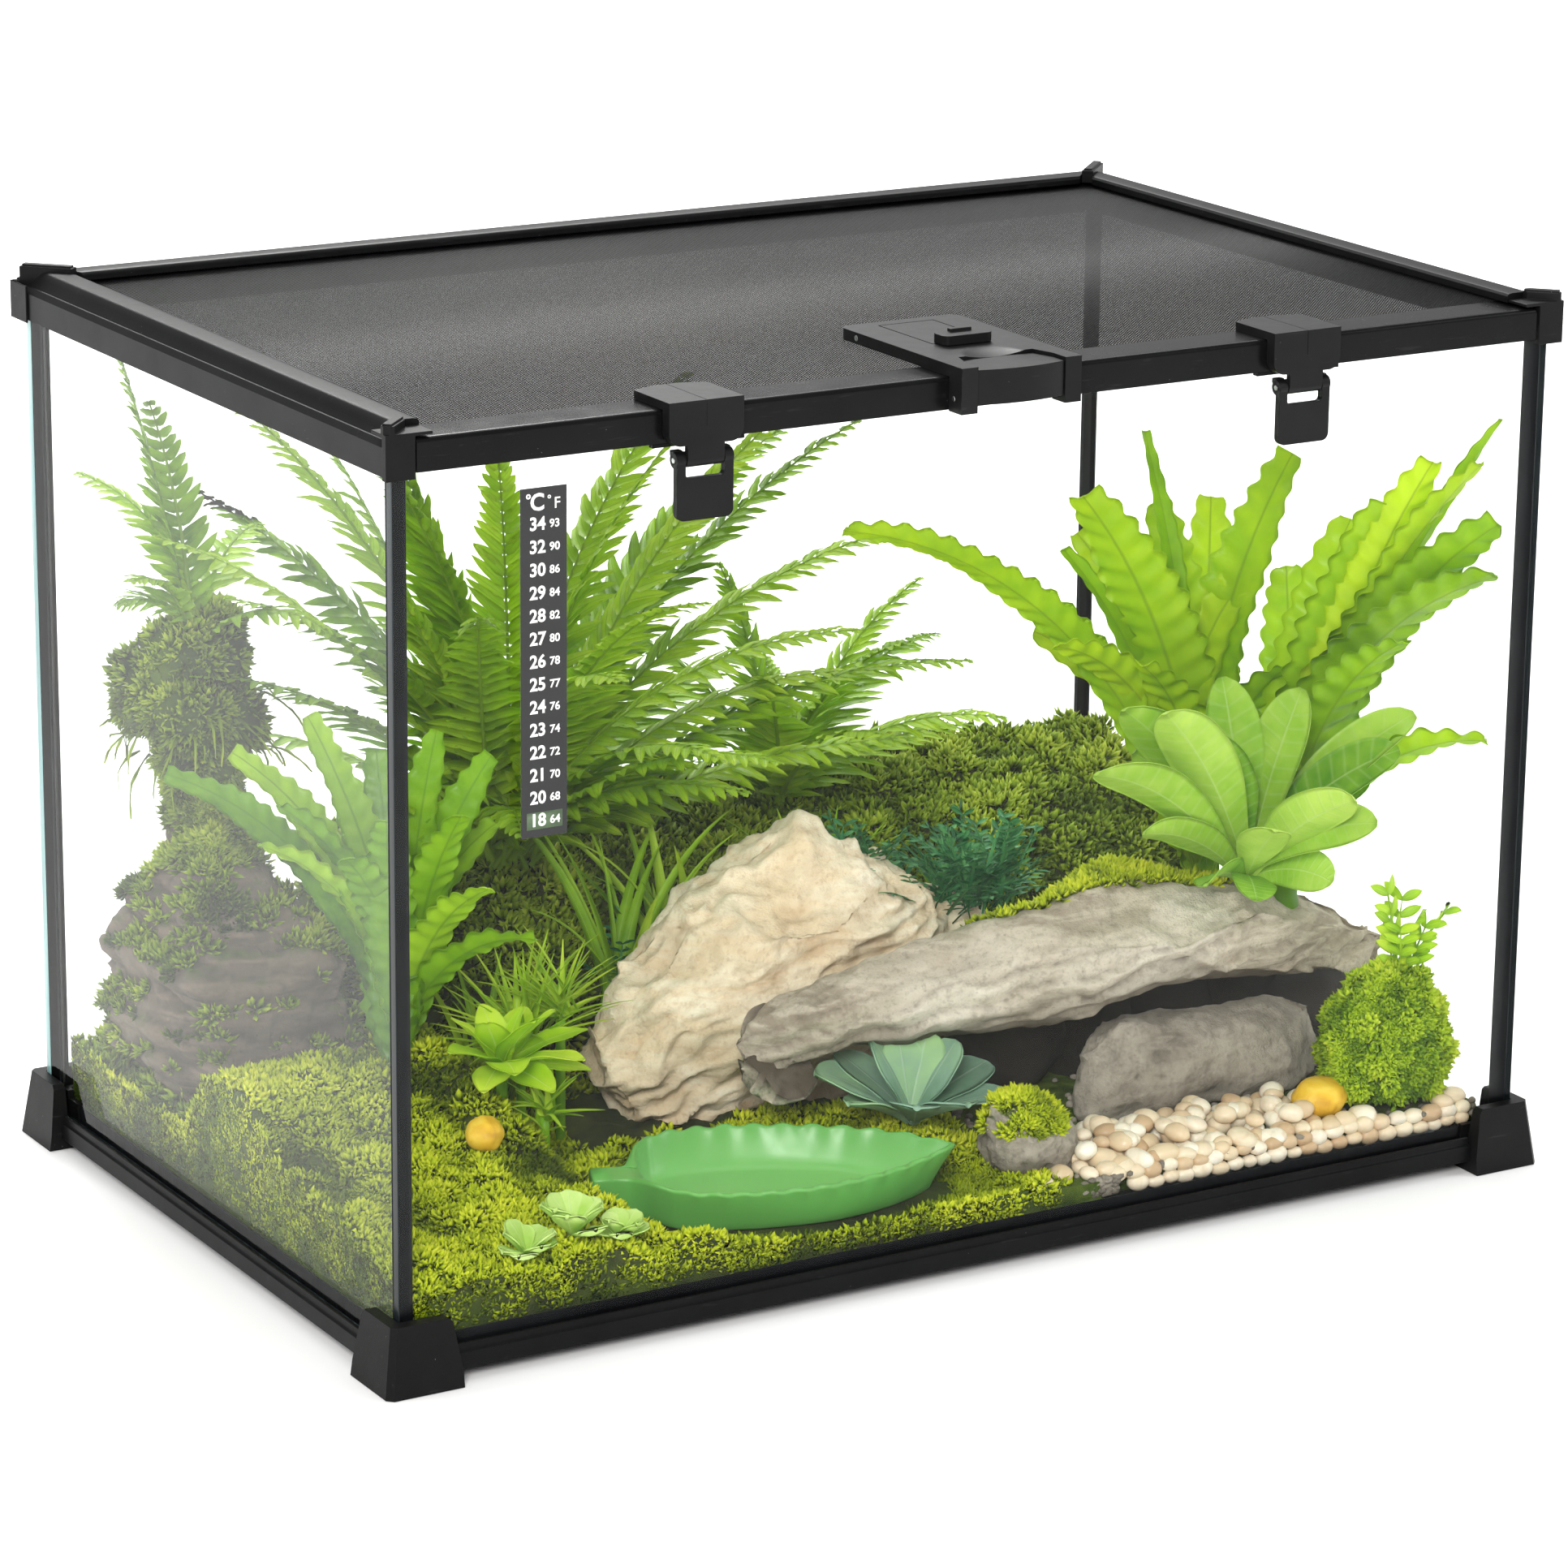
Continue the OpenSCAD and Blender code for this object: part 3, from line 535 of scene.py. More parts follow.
M["dark_herb"] = foliage("dark_herb", (0.015, 0.10, 0.035), (0.045, 0.25, 0.08), (0.15, 0.46, 0.14), 0.5, 0.2, (0.1, 0.30, 0.08), 0.15)


def mossy(name, dark, mid, light, tip):
    m = Mat(name)
    la, lr = m.attr("la"), m.attr("lr")
    # la and lr carry the painted shade of tufts(): darker in the hollows and low places
    t = m.maths("ADD", m.maths("MULTIPLY", la, 0.60), m.maths("MULTIPLY", lr, 0.38))
    t = m.maths("ADD", t, m.maths("MULTIPLY", m.maths("SUBTRACT", m.noise(24.0, 4.0, 0.6), 0.50), 1.0), clamp=True)
    c = m.ramp(t, [(0.0, dark), (0.26, mid), (0.52, light), (0.84, tip)])
    nb = m.bump(m.noise(1500.0, 2.0), 0.3, 0.0002)
    p = m.principled(c, 0.62, nb, Specular_IOR_Level=0.2)
    tr = m.n("BsdfTranslucent")
    m.link(c, tr.inputs["Color"])
    mx = m.n("MixShader")
    mx.inputs[0].default_value = 0.32
    m.link(p.outputs[0], mx.inputs[1])
    m.link(tr.outputs[0], mx.inputs[2])
    return m.done(mx)


M["moss"] = mossy("moss_tuft", (0.014, 0.036, 0.002), (0.16, 0.23, 0.006), (0.56, 0.67, 0.010), (0.90, 0.92, 0.05))
M["moss_bush"] = mossy("moss_bush", (0.014, 0.050, 0.002), (0.15, 0.30, 0.006), (0.50, 0.70, 0.012), (0.82, 0.92, 0.06))
# a darker copy of the moss for the back, the rear glass and the rock wall: painted shade
M["moss_painted_shade"] = mossy("moss_painted_shade", (0.012, 0.028, 0.004), (0.085, 0.14, 0.008), (0.27, 0.39, 0.016), (0.58, 0.68, 0.06))


def make_soil():
    m = Mat("soil_ground")
    c = m.ramp(m.noise(60.0, 6.0, 0.7), [(0.3, (0.010, 0.012, 0.004)), (0.55, (0.035, 0.045, 0.010)), (0.8, (0.10, 0.11, 0.03))])
    g = m.noise(9.0, 4.0)
    c = m.mix(m.ramp(g, [(0.42, (0, 0, 0)), (0.6, (1, 1, 1))]), c, m.ramp(m.noise(150.0, 4.0), [(0.3, (0.03, 0.06, 0.004)), (0.8, (0.14, 0.20, 0.015))]))
    nb = m.bump(m.noise(420.0, 6.0, 0.7), 0.8, 0.0015)
    return m.done(m.principled(c, 0.9, nb, Specular_IOR_Level=0.25))


M["soil"] = make_soil()


def stone(name, stops, cav, pit, rough=0.85, big=14.0, fine=260.0, streak=None, bump=0.7, moss=None, spot=0.0):
    """Stone: broad tone, fine grain, and painted shade: darker in hollows and on undersides by the lc number that the
    mesh carries.
    """
    m = Mat(name)
    n1 = m.noise(big, 6.0, 0.62, 0.6)
    c = m.ramp(n1, stops)
    if streak:
        s = m.noise(34.0, 5.0, 0.6, 1.2, stretch=(1.0, 1.0, 5.0))
        c = m.mix(m.ramp(s, [(0.45, (0, 0, 0)), (0.62, (0.7, 0.7, 0.7))]), c, streak)
    gr = m.noise(fine, 5.0, 0.7)
    c = m.mix(m.ramp(gr, [(0.32, (0.34, 0.34, 0.34)), (0.50, (0, 0, 0))]), c, cav)
    if spot:
        vo = m.voronoi(520.0)
        sp = m.maths("MULTIPLY", m.maths("LESS_THAN", vo, 0.22), spot)
        c = m.mix(sp, c, (0.10, 0.08, 0.06))
    # painted shade: lc darkens the colour towards cav in hollows, under ledges and on undersides
    lc = m.attr("lc")
    c = m.mix(m.maths("MULTIPLY", lc, 1.05, clamp=True), c, cav)
    if moss:
        la = m.attr("la")
        mm = m.maths("MULTIPLY", la, m.ramp(m.noise(45.0, 5.0, 0.65), [(0.40, (0, 0, 0)), (0.56, (1, 1, 1))]), clamp=True)
        c = m.mix(mm, c, m.ramp(m.noise(300.0, 4.0), [(0.3, moss), (0.8, [x * 3.2 for x in moss])]))
    h = m.maths("ADD", m.maths("MULTIPLY", gr, 0.7), m.noise(900.0, 4.0, 0.7))
    nb = m.bump(m.noise(70.0, 6.0, 0.65), 0.5, 0.0025)
    nb = m.bump(h, bump, 0.0008, nb)
    return m.done(m.principled(c, rough, nb, Specular_IOR_Level=0.3))


# in each stone below, the colour after the stops (cav) is the painted shade for hollows and undersides, and also the
# dark of the fine grain
M["sandstone"] = stone("sandstone", [(0.30, (0.74, 0.58, 0.38)), (0.50, (0.90, 0.80, 0.61)), (0.72, (0.97, 0.92, 0.82))],
                       (0.38, 0.22, 0.10), 0, 0.82, 11.0, 330.0, (0.82, 0.64, 0.42), 0.7)
M["slab"] = stone("slab_stone", [(0.30, (0.24, 0.19, 0.14)), (0.48, (0.46, 0.39, 0.30)), (0.70, (0.80, 0.73, 0.62))],
                  (0.09, 0.068, 0.046), 0, 0.8, 13.0, 300.0, (0.64, 0.56, 0.45), 0.9, (0.02, 0.05, 0.004), 0.15)
M["boulder"] = stone("grey_stone", [(0.30, (0.14, 0.115, 0.09)), (0.50, (0.30, 0.26, 0.21)), (0.72, (0.56, 0.50, 0.42))],
                     (0.055, 0.046, 0.034), 0, 0.78, 15.0, 300.0, (0.42, 0.37, 0.30), 0.9, (0.02, 0.045, 0.004), 0.15)
# near-black stone for the back of the cave: painted shadow
M["cave"] = stone("cave_painted_shadow_stone", [(0.28, (0.014, 0.012, 0.009)), (0.52, (0.032, 0.027, 0.021)), (0.78, (0.070, 0.060, 0.048))],
                  (0.006, 0.005, 0.004), 0, 0.85, 12.0, 260.0, (0.05, 0.04, 0.03), 0.9)
M["wall"] = stone("dark_stone", [(0.28, (0.055, 0.043, 0.034)), (0.52, (0.14, 0.112, 0.086)), (0.78, (0.32, 0.27, 0.21))],
                  (0.016, 0.013, 0.010), 0, 0.85, 12.0, 260.0, (0.22, 0.17, 0.13), 0.9, (0.03, 0.055, 0.004), 0.1)


def make_pebble():
    m = Mat("river_pebble")
    lr = m.attr("lr")
    c = m.ramp(lr, [(0.0, (0.52, 0.34, 0.19)), (0.3, (0.72, 0.56, 0.37)), (0.65, (0.82, 0.70, 0.52)), (1.0, (0.90, 0.84, 0.72))])
    c = m.mix(m.ramp(m.noise(110.0, 5.0, 0.6, 0.8), [(0.45, (0, 0, 0)), (0.7, (0.55, 0.55, 0.55))]), c, (0.60, 0.42, 0.25))
    nb = m.bump(m.noise(500.0, 4.0), 0.2, 0.0003)
    r = m.ramp(m.noise(80.0, 3.0), [(0.3, (0.32, 0.32, 0.32)), (0.75, (0.55, 0.55, 0.55))])
    return m.done(m.principled(c, r, nb, Subsurface_Weight=0.1, Subsurface_Scale=0.002))


def make_yellow():
    m = Mat("yellow_stone")
    c = m.ramp(m.noise(120.0, 5.0, 0.6, 0.5), [(0.3, (0.60, 0.30, 0.010)), (0.5, (0.80, 0.48, 0.02)), (0.75, (0.90, 0.66, 0.10))])
    nb = m.bump(m.noise(600.0, 4.0, 0.7), 0.4, 0.0005)
    return m.done(m.principled(c, 0.5, nb))


M["pebble"] = make_pebble()
M["yellow"] = make_yellow()


# ------------------------------------------------------------------ hard surfaces
def hard(nodes, mat, bevel=0.35, segs=2, angle=32.0):
    """Shows each CAD node as a copy whose edges are rounded off as a moulding's are."""
    for node in nodes:
        body = NODES[node]["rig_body"]
        name = node + "_shell"
        ob = cad_copy(node, name)
        bm = bmesh.new()
        bm.from_mesh(ob.data)
        bmesh.ops.remove_doubles(bm, verts=bm.verts, dist=2e-6)
        bmesh.ops.dissolve_limit(bm, angle_limit=math.radians(0.8), verts=bm.verts, edges=bm.edges)
        bm.to_mesh(ob.data)
        bm.free()
        bv = ob.modifiers.new("bevel", "BEVEL")
        bv.width = bevel / 1000.0
        bv.segments = segs
        bv.limit_method = "ANGLE"
        bv.angle_limit = math.radians(angle)
        bv.use_clamp_overlap = True
        bv.harden_normals = False
        bv.miter_outer = "MITER_ARC"
        me = applied(ob)
        me.materials.clear()
        for m in (mat if isinstance(mat, (list, tuple)) else [mat]):
            me.materials.append(m)
        me.polygons.foreach_set("use_smooth", np.ones(len(me.polygons), bool))
        me.set_sharp_from_angle(angle=math.radians(38))
        wn = ob.modifiers.new("normals", "WEIGHTED_NORMAL")
        wn.keep_sharp = True
        applied(ob)
        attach(ob, body)
        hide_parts(node)
        yield ob


def build_hard():
    for _ in hard(["bottom_rail_front", "bottom_rail_rear", "bottom_rail_left", "bottom_rail_right"], M["rail"], 0.3):
        pass
    for _ in hard(["top_rail_left", "top_rail_right", "top_rail_rear"], M["rail"], 0.35):
        pass
    for _ in hard(["front_glass_trim"], M["rail"], 0.25):
        pass
    for _ in hard(["lid_front_bar"], M["rail_gloss"], 0.5):
        pass
    for _ in hard(["lid_rear_bar", "lid_left_bar", "lid_right_bar"], M["rail"], 0.3):
        pass
    for _ in hard(["foot_front_left", "foot_front_right", "foot_rear_left", "foot_rear_right"], M["foot"], 0.55, 3):
        pass
    for _ in hard(["cap_front_left", "cap_front_right", "cap_rear_left", "cap_rear_right"], M["mould"], 0.6, 3):
        pass
    for _ in hard(["latch_housing"], M["latch"], 0.4, 3):
        pass
    for _ in hard(["latch_lever"], M["latch"], 0.75, 4):
        pass
    for _ in hard(["latch_button"], M["latch"], 0.65, 4):
        pass
    for _ in hard(["clip_left_body", "clip_right_body"], M["latch"], 0.9, 4):
        pass
    for _ in hard(["clip_left_lever", "clip_right_lever"], M["latch"], 0.5, 3):
        pass
    for _ in hard(["latch_pin", "latch_screws", "clip_left_pin", "clip_right_pin"], M["steel"], 0.15, 2):
        pass


def build_glass():
    """Panes with arrised edges; the narrow faces take the edge material."""
    for node in ("glass_front", "glass_rear", "glass_left", "glass_right", "glass_bottom"):
        for ob in hard([node], [M["glass"], M["edge_green"] if node == "glass_rear" else M["edge"]], 0.35, 2, 30.0):
            me = ob.data
            nrm = np.zeros(len(me.polygons) * 3)
            me.polygons.foreach_get("normal", nrm)
            nrm = np.abs(nrm.reshape(-1, 3))
            ax = {"glass_front": 1, "glass_rear": 1, "glass_left": 0, "glass_right": 0, "glass_bottom": 2}[node]
            me.polygons.foreach_set("material_index", (nrm[:, ax] < 0.95).astype(np.int32))
            me.update()
    for ob in hard(["silicone_seams"], M["silicone"], 0.25, 2, 30.0):
        # the joint itself: a thin black layer between each side pane's end and the front or rear pane
        bm = bmesh.new()
        bm.from_mesh(ob.data)
        for sx in (-1, 1):
            for sy in (-1, 1):
                x0, x1 = sorted((sx * 238.9, sx * 246.3))
                y0, y1 = sorted((sy * 151.08, sy * 151.42))
                lo, hi = to_m([x0, y0, 14.4])[0], to_m([x1, y1, 336.8])[0]
                vs = [bm.verts.new((x, y, z)) for z in (lo[2], hi[2]) for (x, y) in ((lo[0], lo[1]), (hi[0], lo[1]), (hi[0], hi[1]), (lo[0], hi[1]))]
                for f in ((3, 2, 1, 0), (4, 5, 6, 7), (0, 1, 5, 4), (1, 2, 6, 5), (2, 3, 7, 6), (3, 0, 4, 7)):
                    bm.faces.new([vs[i] for i in f])
        bm.to_mesh(ob.data)
        bm.free()


# ------------------------------------------------------------------ woven screen
def build_screen():
    lo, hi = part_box("lid_screen")
    x0, x1 = lo.x * 1000, hi.x * 1000
    y0, y1 = lo.y * 1000 - YS, hi.y * 1000 - YS
    z0, z1 = lo.z * 1000, hi.z * 1000
    pitch, ra, rb = 1.30, 0.265, 0.126
    buf = Buf()
    k = 6
    ang = np.arange(k) * 2 * np.pi / k
    ring = np.stack([np.cos(ang) * ra, np.sin(ang) * rb], 1)

    def wires(centres, z, along_x, s0, s1):
        n = len(centres)
        v = np.zeros((n, 2, k, 3))
        a, c = (0, 1) if along_x else (1, 0)
        for e, s in enumerate((s0, s1)):
            v[:, e, :, a] = s
            v[:, e, :, c] = centres[:, None] + ring[None, :, 0]
            v[:, e, :, 2] = z + ring[None, :, 1]
        base = np.arange(n)[:, None] * 2 * k
        i = np.arange(k)
        q = np.stack([i, (i + 1) % k, (i + 1) % k + k, i + k], 1)
        q = (base[:, :, None] + q[None]).reshape(-1, 4)
        caps = np.concatenate([base + i[::-1][None], base + k + i[None]])
        if along_x:
            q, caps = q[:, ::-1], caps[:, ::-1]
        buf.add(v.reshape(-1, 3), [q, caps])

    zm = (z0 + z1) / 2
    ny = int((y1 - y0) / pitch)
    nx = int((x1 - x0) / pitch)
    wires(y0 + ra + (np.arange(ny) + 0.5) * (y1 - y0 - 2 * ra) / ny, zm - rb * 0.9, True, x0, x1)
    wires(x0 + ra + (np.arange(nx) + 0.5) * (x1 - x0 - 2 * ra) / nx, zm + rb * 0.9, False, y0, y1)
    buf_piece("screen_weave", buf, M["wire"], "lid", ["lid_screen"])


# ------------------------------------------------------------------ thermometer strip
def text_mesh(s, size, bold=0.0, shear=0.0):
    cu = bpy.data.curves.new("t_" + s.replace("°", "deg"), "FONT")
    cu.body = s
    cu.size = size
    cu.align_x = "CENTER"
    cu.align_y = "CENTER"
    cu.offset = bold
    cu.shear = shear
    cu.resolution_u = 3
    cu.extrude = 0.04
    ob = bpy.data.objects.new("tmp_text", cu)
    bpy.context.scene.collection.objects.link(ob)
    dg = bpy.context.evaluated_depsgraph_get()
    me = bpy.data.meshes.new_from_object(ob.evaluated_get(dg))
    v = np.zeros(len(me.vertices) * 3)
    me.vertices.foreach_get("co", v)
    tris = []
    me.calc_loop_triangles()
    t = np.zeros(len(me.loop_triangles) * 3, np.int32)
    me.loop_triangles.foreach_get("vertices", t)
    tris = t.reshape(-1, 3)
    bpy.data.objects.remove(ob)
    bpy.data.curves.remove(cu)
    bpy.data.meshes.remove(me)
    return v.reshape(-1, 3), tris


def build_strip():
    for _ in hard(["thermometer_strip"], M["strip"], 0.12, 2):
        pass
    lo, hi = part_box("thermometer_strip")
    x0, x1, z1, yf = lo.x * 1000, hi.x * 1000, hi.z * 1000, lo.y * 1000 - YS
    w = x1 - x0
    rows = [(34, 93), (32, 90), (30, 86), (29, 84), (28, 82), (27, 80), (26, 78), (25, 77), (24, 76), (23, 74),
            (22, 72), (21, 70), (20, 68), (18, 64)]
    ink, cell = Buf(), Buf()

    def put(s, size, x, z, bold, squeeze=1.0):
        v, t = text_mesh(s, size, bold)
        o = np.zeros_like(v)
        o[:, 0] = x + v[:, 0] * squeeze
        o[:, 2] = z + v[:, 1]
        o[:, 1] = yf - 0.02 - v[:, 2]
        ink.add(o, [t])

    put("°", 6.0, x0 + 0.17 * w, z1 - 4.6, 0.12)
    put("C", 8.4, x0 + 0.36 * w, z1 - 5.4, 0.22, 0.95)
    put("°", 4.6, x0 + 0.62 * w, z1 - 5.0, 0.06)
    put("F", 5.6, x0 + 0.79 * w, z1 - 6.2, 0.03)
    for i, (c, f) in enumerate(rows):
        z = z1 - 13.0 - i * 8.2
        put(str(c), 6.5, x0 + 0.365 * w, z, 0.17, 0.98)
        put(str(f), 4.1, x0 + 0.735 * w, z - 0.25, 0.10, 1.0)
    zc = z1 - 13.0 - 13 * 8.2
    xa, xb, za, zb_ = x0 + 0.12 * w, x0 + 0.90 * w, zc - 3.1, zc + 3.1
    v = np.array([[x, y, z] for y in (yf - 0.012, yf + 0.02) for (x, z) in ((xa, za), (xb, za), (xb, zb_), (xa, zb_))])
    cell.add(v, [np.array([[0, 1, 2, 3], [7, 6, 5, 4], [0, 4, 5, 1], [1, 5, 6, 2], [2, 6, 7, 3], [3, 7, 4, 0]])])
    buf_piece("strip_figures", ink, M["ink"], "tank", smooth_angle=0)
    buf_piece("strip_cell", cell, M["cell"], "tank", smooth_angle=0)


# ------------------------------------------------------------------ leaf dish
def build_dish():
    L, W, H = 140.0, 80.0, 19.0
    nh = 150
    # upper edge, stem to tip: a flat stem tab, a rounded shoulder, widest at 0.4, pointed tip
    ctrl_t = np.array([0.0, 0.015, 0.06, 0.095, 0.115, 0.14, 0.18, 0.24, 0.32, 0.42, 0.53, 0.64, 0.75, 0.85, 0.93, 0.98, 1.0])
    ctrl_w = np.array([0.17, 0.185, 0.180, 0.195, 0.34, 0.58, 0.78, 0.92, 0.985, 1.0, 0.965, 0.87, 0.71, 0.50, 0.27, 0.10, 0.0])
    s = np.interp(np.linspace(0, 1, nh), [0, 0.12, 0.34, 1.0], [0, 0.095, 0.20, 1.0])
    hw = np.interp(s, ctrl_t, ctrl_w)
    for _ in range(5):
        hw[1:-1] = (hw[:-2] + 2 * hw[1:-1] + hw[2:]) / 4
    leafy = smooth(s, 0.16, 0.24) * (1 - smooth(s, 0.93, 1.0))
    w1 = leafy * np.sin(s * 2 * np.pi * 12.5)
    w2 = leafy * np.sin(s * 2 * np.pi * 13.5 + 1.0)
    xs = (s - 0.5) * L
    up = np.stack([xs, np.maximum(hw * (W / 2 - 1.8), 0.25)], 1)
    dn = np.stack([xs, np.minimum(-hw * (W / 2 - 1.8), -0.25)], 1)
    rim = np.concatenate([dn, up[::-1]])                # counter-clockwise from the stem's lower corner
    rim_t = np.concatenate([s, s[::-1]])
    wav = np.concatenate([w2, w1[::-1]])
    rz = np.concatenate([leafy * 0.42 * np.sin(s * 2 * np.pi * 13.5 + 1.9), (leafy * 0.42 * np.sin(s * 2 * np.pi * 12.5 + 0.8))[::-1]])
    stem = 1 - smooth(rim_t, 0.085, 0.15)
    n = len(rim)
    c0 = np.stack([np.clip(rim[:, 0], -L / 2 + 30, L / 2 - 56), np.zeros(n)], 1)

    def ring(scale, z, inset=0.0, wob=1.0):
        """A ring at a share of the outline, pulled in by inset; wob is how much of the wavy edge it takes."""
        d = rim - c0
        ln = np.linalg.norm(d, axis=1, keepdims=True)
        sc = 1 - (1 - scale) * (1 - 0.93 * stem)
        base = c0 + d * sc[:, None] - d / ln * inset + d / ln * (wav * 0.75 * wob)[:, None]
        return np.concatenate([base, (np.zeros(n) + z + rz * wob)[:, None]], 1)

    z_floor = 2.5
    # the edge dips a little towards the shoulder and rises to the tip
    top = H - 1.7 - stem * 3.0 + 0.9 * smooth(rim_t, 0.55, 1.0) - 0.9
    rings = [
        (0.50, 0.6, 0.0, 0.0), (0.765, 0.0, 0.0, 0.0), (0.80, 0.15, 0.0, 0.0), (0.822, 0.9, 0.0, 0.0),
        (0.845, top * 0.22, 0.0, 0.0), (0.885, top * 0.45, 0.0, 0.0), (0.925, top * 0.66, 0.0, 0.10), (0.965, top * 0.85, 0.0, 0.45),
        (0.99, top * 0.96, 0.0, 0.9), (1.0, top + 0.15, 0.05, 1.0), (1.0, top + 0.70, 0.40, 1.0), (1.0, top + 1.0, 1.0, 1.0),
        (1.0, top + 1.0, 1.7, 1.0), (1.0, top + 0.65, 2.25, 1.0), (1.0, top - 0.2, 2.65, 0.85), (0.975, top * 0.86, 2.8, 0.35),
        (0.94, top * 0.68, 2.9, 0.08), (0.905, top * 0.48, 3.1, 0.0), (0.87, top * 0.30, 3.3, 0.0), (0.845, z_floor + 1.3, 3.6, 0.0),
        (0.82, z_floor + 0.42, 4.0, 0.0), (0.78, z_floor + 0.06, 4.3, 0.0), (0.72, z_floor, 4.4, 0.0)]
    x_in = -L / 2 + 0.118 * L + 2.4
    vs, la = [], []
    for j, (sc, z, inset, wob) in enumerate(rings):
        r = ring(sc, z, inset, wob)
        if j >= 12:      # inside: the tab stays solid, so the hollow begins past it
            mv = rim_t < 0.20
            k = min(1.0, (j - 11) / 3.0)
            lim = x_in + max(0, j - 14) * 0.55
            r[:, 0] = np.where(mv, np.maximum(r[:, 0], r[:, 0] * (1 - k) + np.maximum(r[:, 0], lim) * k), r[:, 0])
            if j >= 14:
                r[:, 0] = np.where(mv, np.maximum(r[:, 0], lim), r[:, 0])
        vs.append(r)
        # la: painted light, 0 outside and on the rim, rising to 1 down the inside of the bowl
        la.append(np.full(n, 0.0 if j < 13 else min(1.0, (j - 12) / 9.0)))
    last = vs[-1]
    for q in (0.7, 0.4, 0.12):
        c = np.stack([np.clip(last[:, 0], -L / 2 + 38, L / 2 - 66), np.zeros(n)], 1)
        r = last.copy()
        r[:, :2] = c + (last[:, :2] - c) * q
        r[:, 2] = z_floor
        vs.append(r)
        la.append(np.full(n, 1.0))
    first = vs[0].copy()
    under = []
    for q in (0.5, 0.1):
        c = np.stack([np.clip(first[:, 0], -L / 2 + 38, L / 2 - 66), np.zeros(n)], 1)
        r = first.copy()
        r[:, :2] = c + (first[:, :2] - c) * q
        r[:, 2] = 0.6
        under.append(r)
    vs = under[::-1] + vs
    la = [np.zeros(n)] * 2 + la
    V = np.stack(vs)                      # rings x n x 3
    m = len(V)
    faces = grid_faces(m, n, wrap_v=True, flip=True)
    half = n // 2
    i = np.arange(half - 1)
    lower0 = np.stack([i, i + 1, n - 2 - i, n - 1 - i], 1)
    o1 = (m - 1) * n
    upper0 = np.stack([o1 + i, o1 + i + 1, o1 + n - 2 - i, o1 + n - 1 - i], 1)
    buf = Buf()
    ang = math.radians(-19)
    R = np.array([[math.cos(ang), -math.sin(ang), 0], [math.sin(ang), math.cos(ang), 0], [0, 0, 1]])
    P = V.reshape(-1, 3) @ R.T + np.array([-62.0, -104.0, 22.4])
    buf.add(P, [faces, lower0[:, ::-1], upper0], la=np.concatenate(la))

    buf_piece("leaf_bowl", buf, M["dish"], "dish", ["leaf_dish"])


# ------------------------------------------------------------------ ground
def ground_z(x, y):
    """Height of the ground in millimetres, following the CAD's bed and mounds with softened edges."""
    x, y = np.asarray(x, float), np.asarray(y, float)
    base = np.full(x.shape, 22.2)
    zl = np.interp(y, [-146, -48, -14, 22, 40], [25, 43, 60, 60, 34])
    wl = 1 - smooth(x, -145, -118)
    left = base + (zl - base) * wl
    zr = np.interp(y, [40, 52, 84, 110, 146], [22.2, 64, 91, 102, 106])
    wr = smooth(x, -158, -128)
    rear = base + (zr - base) * wr
    return np.maximum(left, rear)


def lumps(x, y):
    p = np.stack([x, y, np.zeros_like(x)], 1)
    w = p + np.stack([fbm(p / 9.0, 2, 15), fbm(p / 9.0, 2, 16), np.zeros(len(p))], 1) * 3.0
    d, r = cells(w / 17.0, 3)
    d2, r2 = cells(w / 8.0, 8)
    h = np.clip(1 - d, 0, 1) ** 0.7 * 8.0 * (0.35 + r) + np.clip(1 - d2 * 1.1, 0, 1) * 2.8 + fbm(p / 40.0, 3, 5) * 2.5
    # the moss is trodden low beside the dish
    return h * (0.25 + 0.75 * smooth(dish_e(x, y, 2.0), 1.1, 2.6))


def moss_mask(x, y):
    """1 where moss grows, 0 on bare ground (front right, where the pebbles lie)."""
    p = np.stack([x, y, np.zeros_like(x)], 1)
    edge = fbm(p / 26.0, 3, 11) * 26
    bare = smooth(x + edge * 0.8, 22, 50) * (1 - smooth(y + edge * 0.3, 30, 44))
    return 1 - bare


def dish_e(x, y, grow=0.0):
    """Below 1 inside a leaf-like oval round the dish."""
    a = math.radians(19)
    dx, dy = np.asarray(x, float) + 62, np.asarray(y, float) + 104
    u = dx * math.cos(a) - dy * math.sin(a)
    v = dx * math.sin(a) + dy * math.cos(a)
    w = (38 + grow) * (1 - 0.36 * smooth(u, 16, 62)) * (1 - 0.5 * smooth(-u, 50, 62))
    return (u / (69 + grow)) ** 2 + (v / w) ** 2


def surf_z(x, y):
    z = ground_z(x, y) + (lumps(x, y) - 1.2) * moss_mask(x, y)
    k = smooth(dish_e(x, y, 1.5), 1.0, 1.55)
    # ground stays under the loose dish
    return 21.8 * (1 - k) + z * k


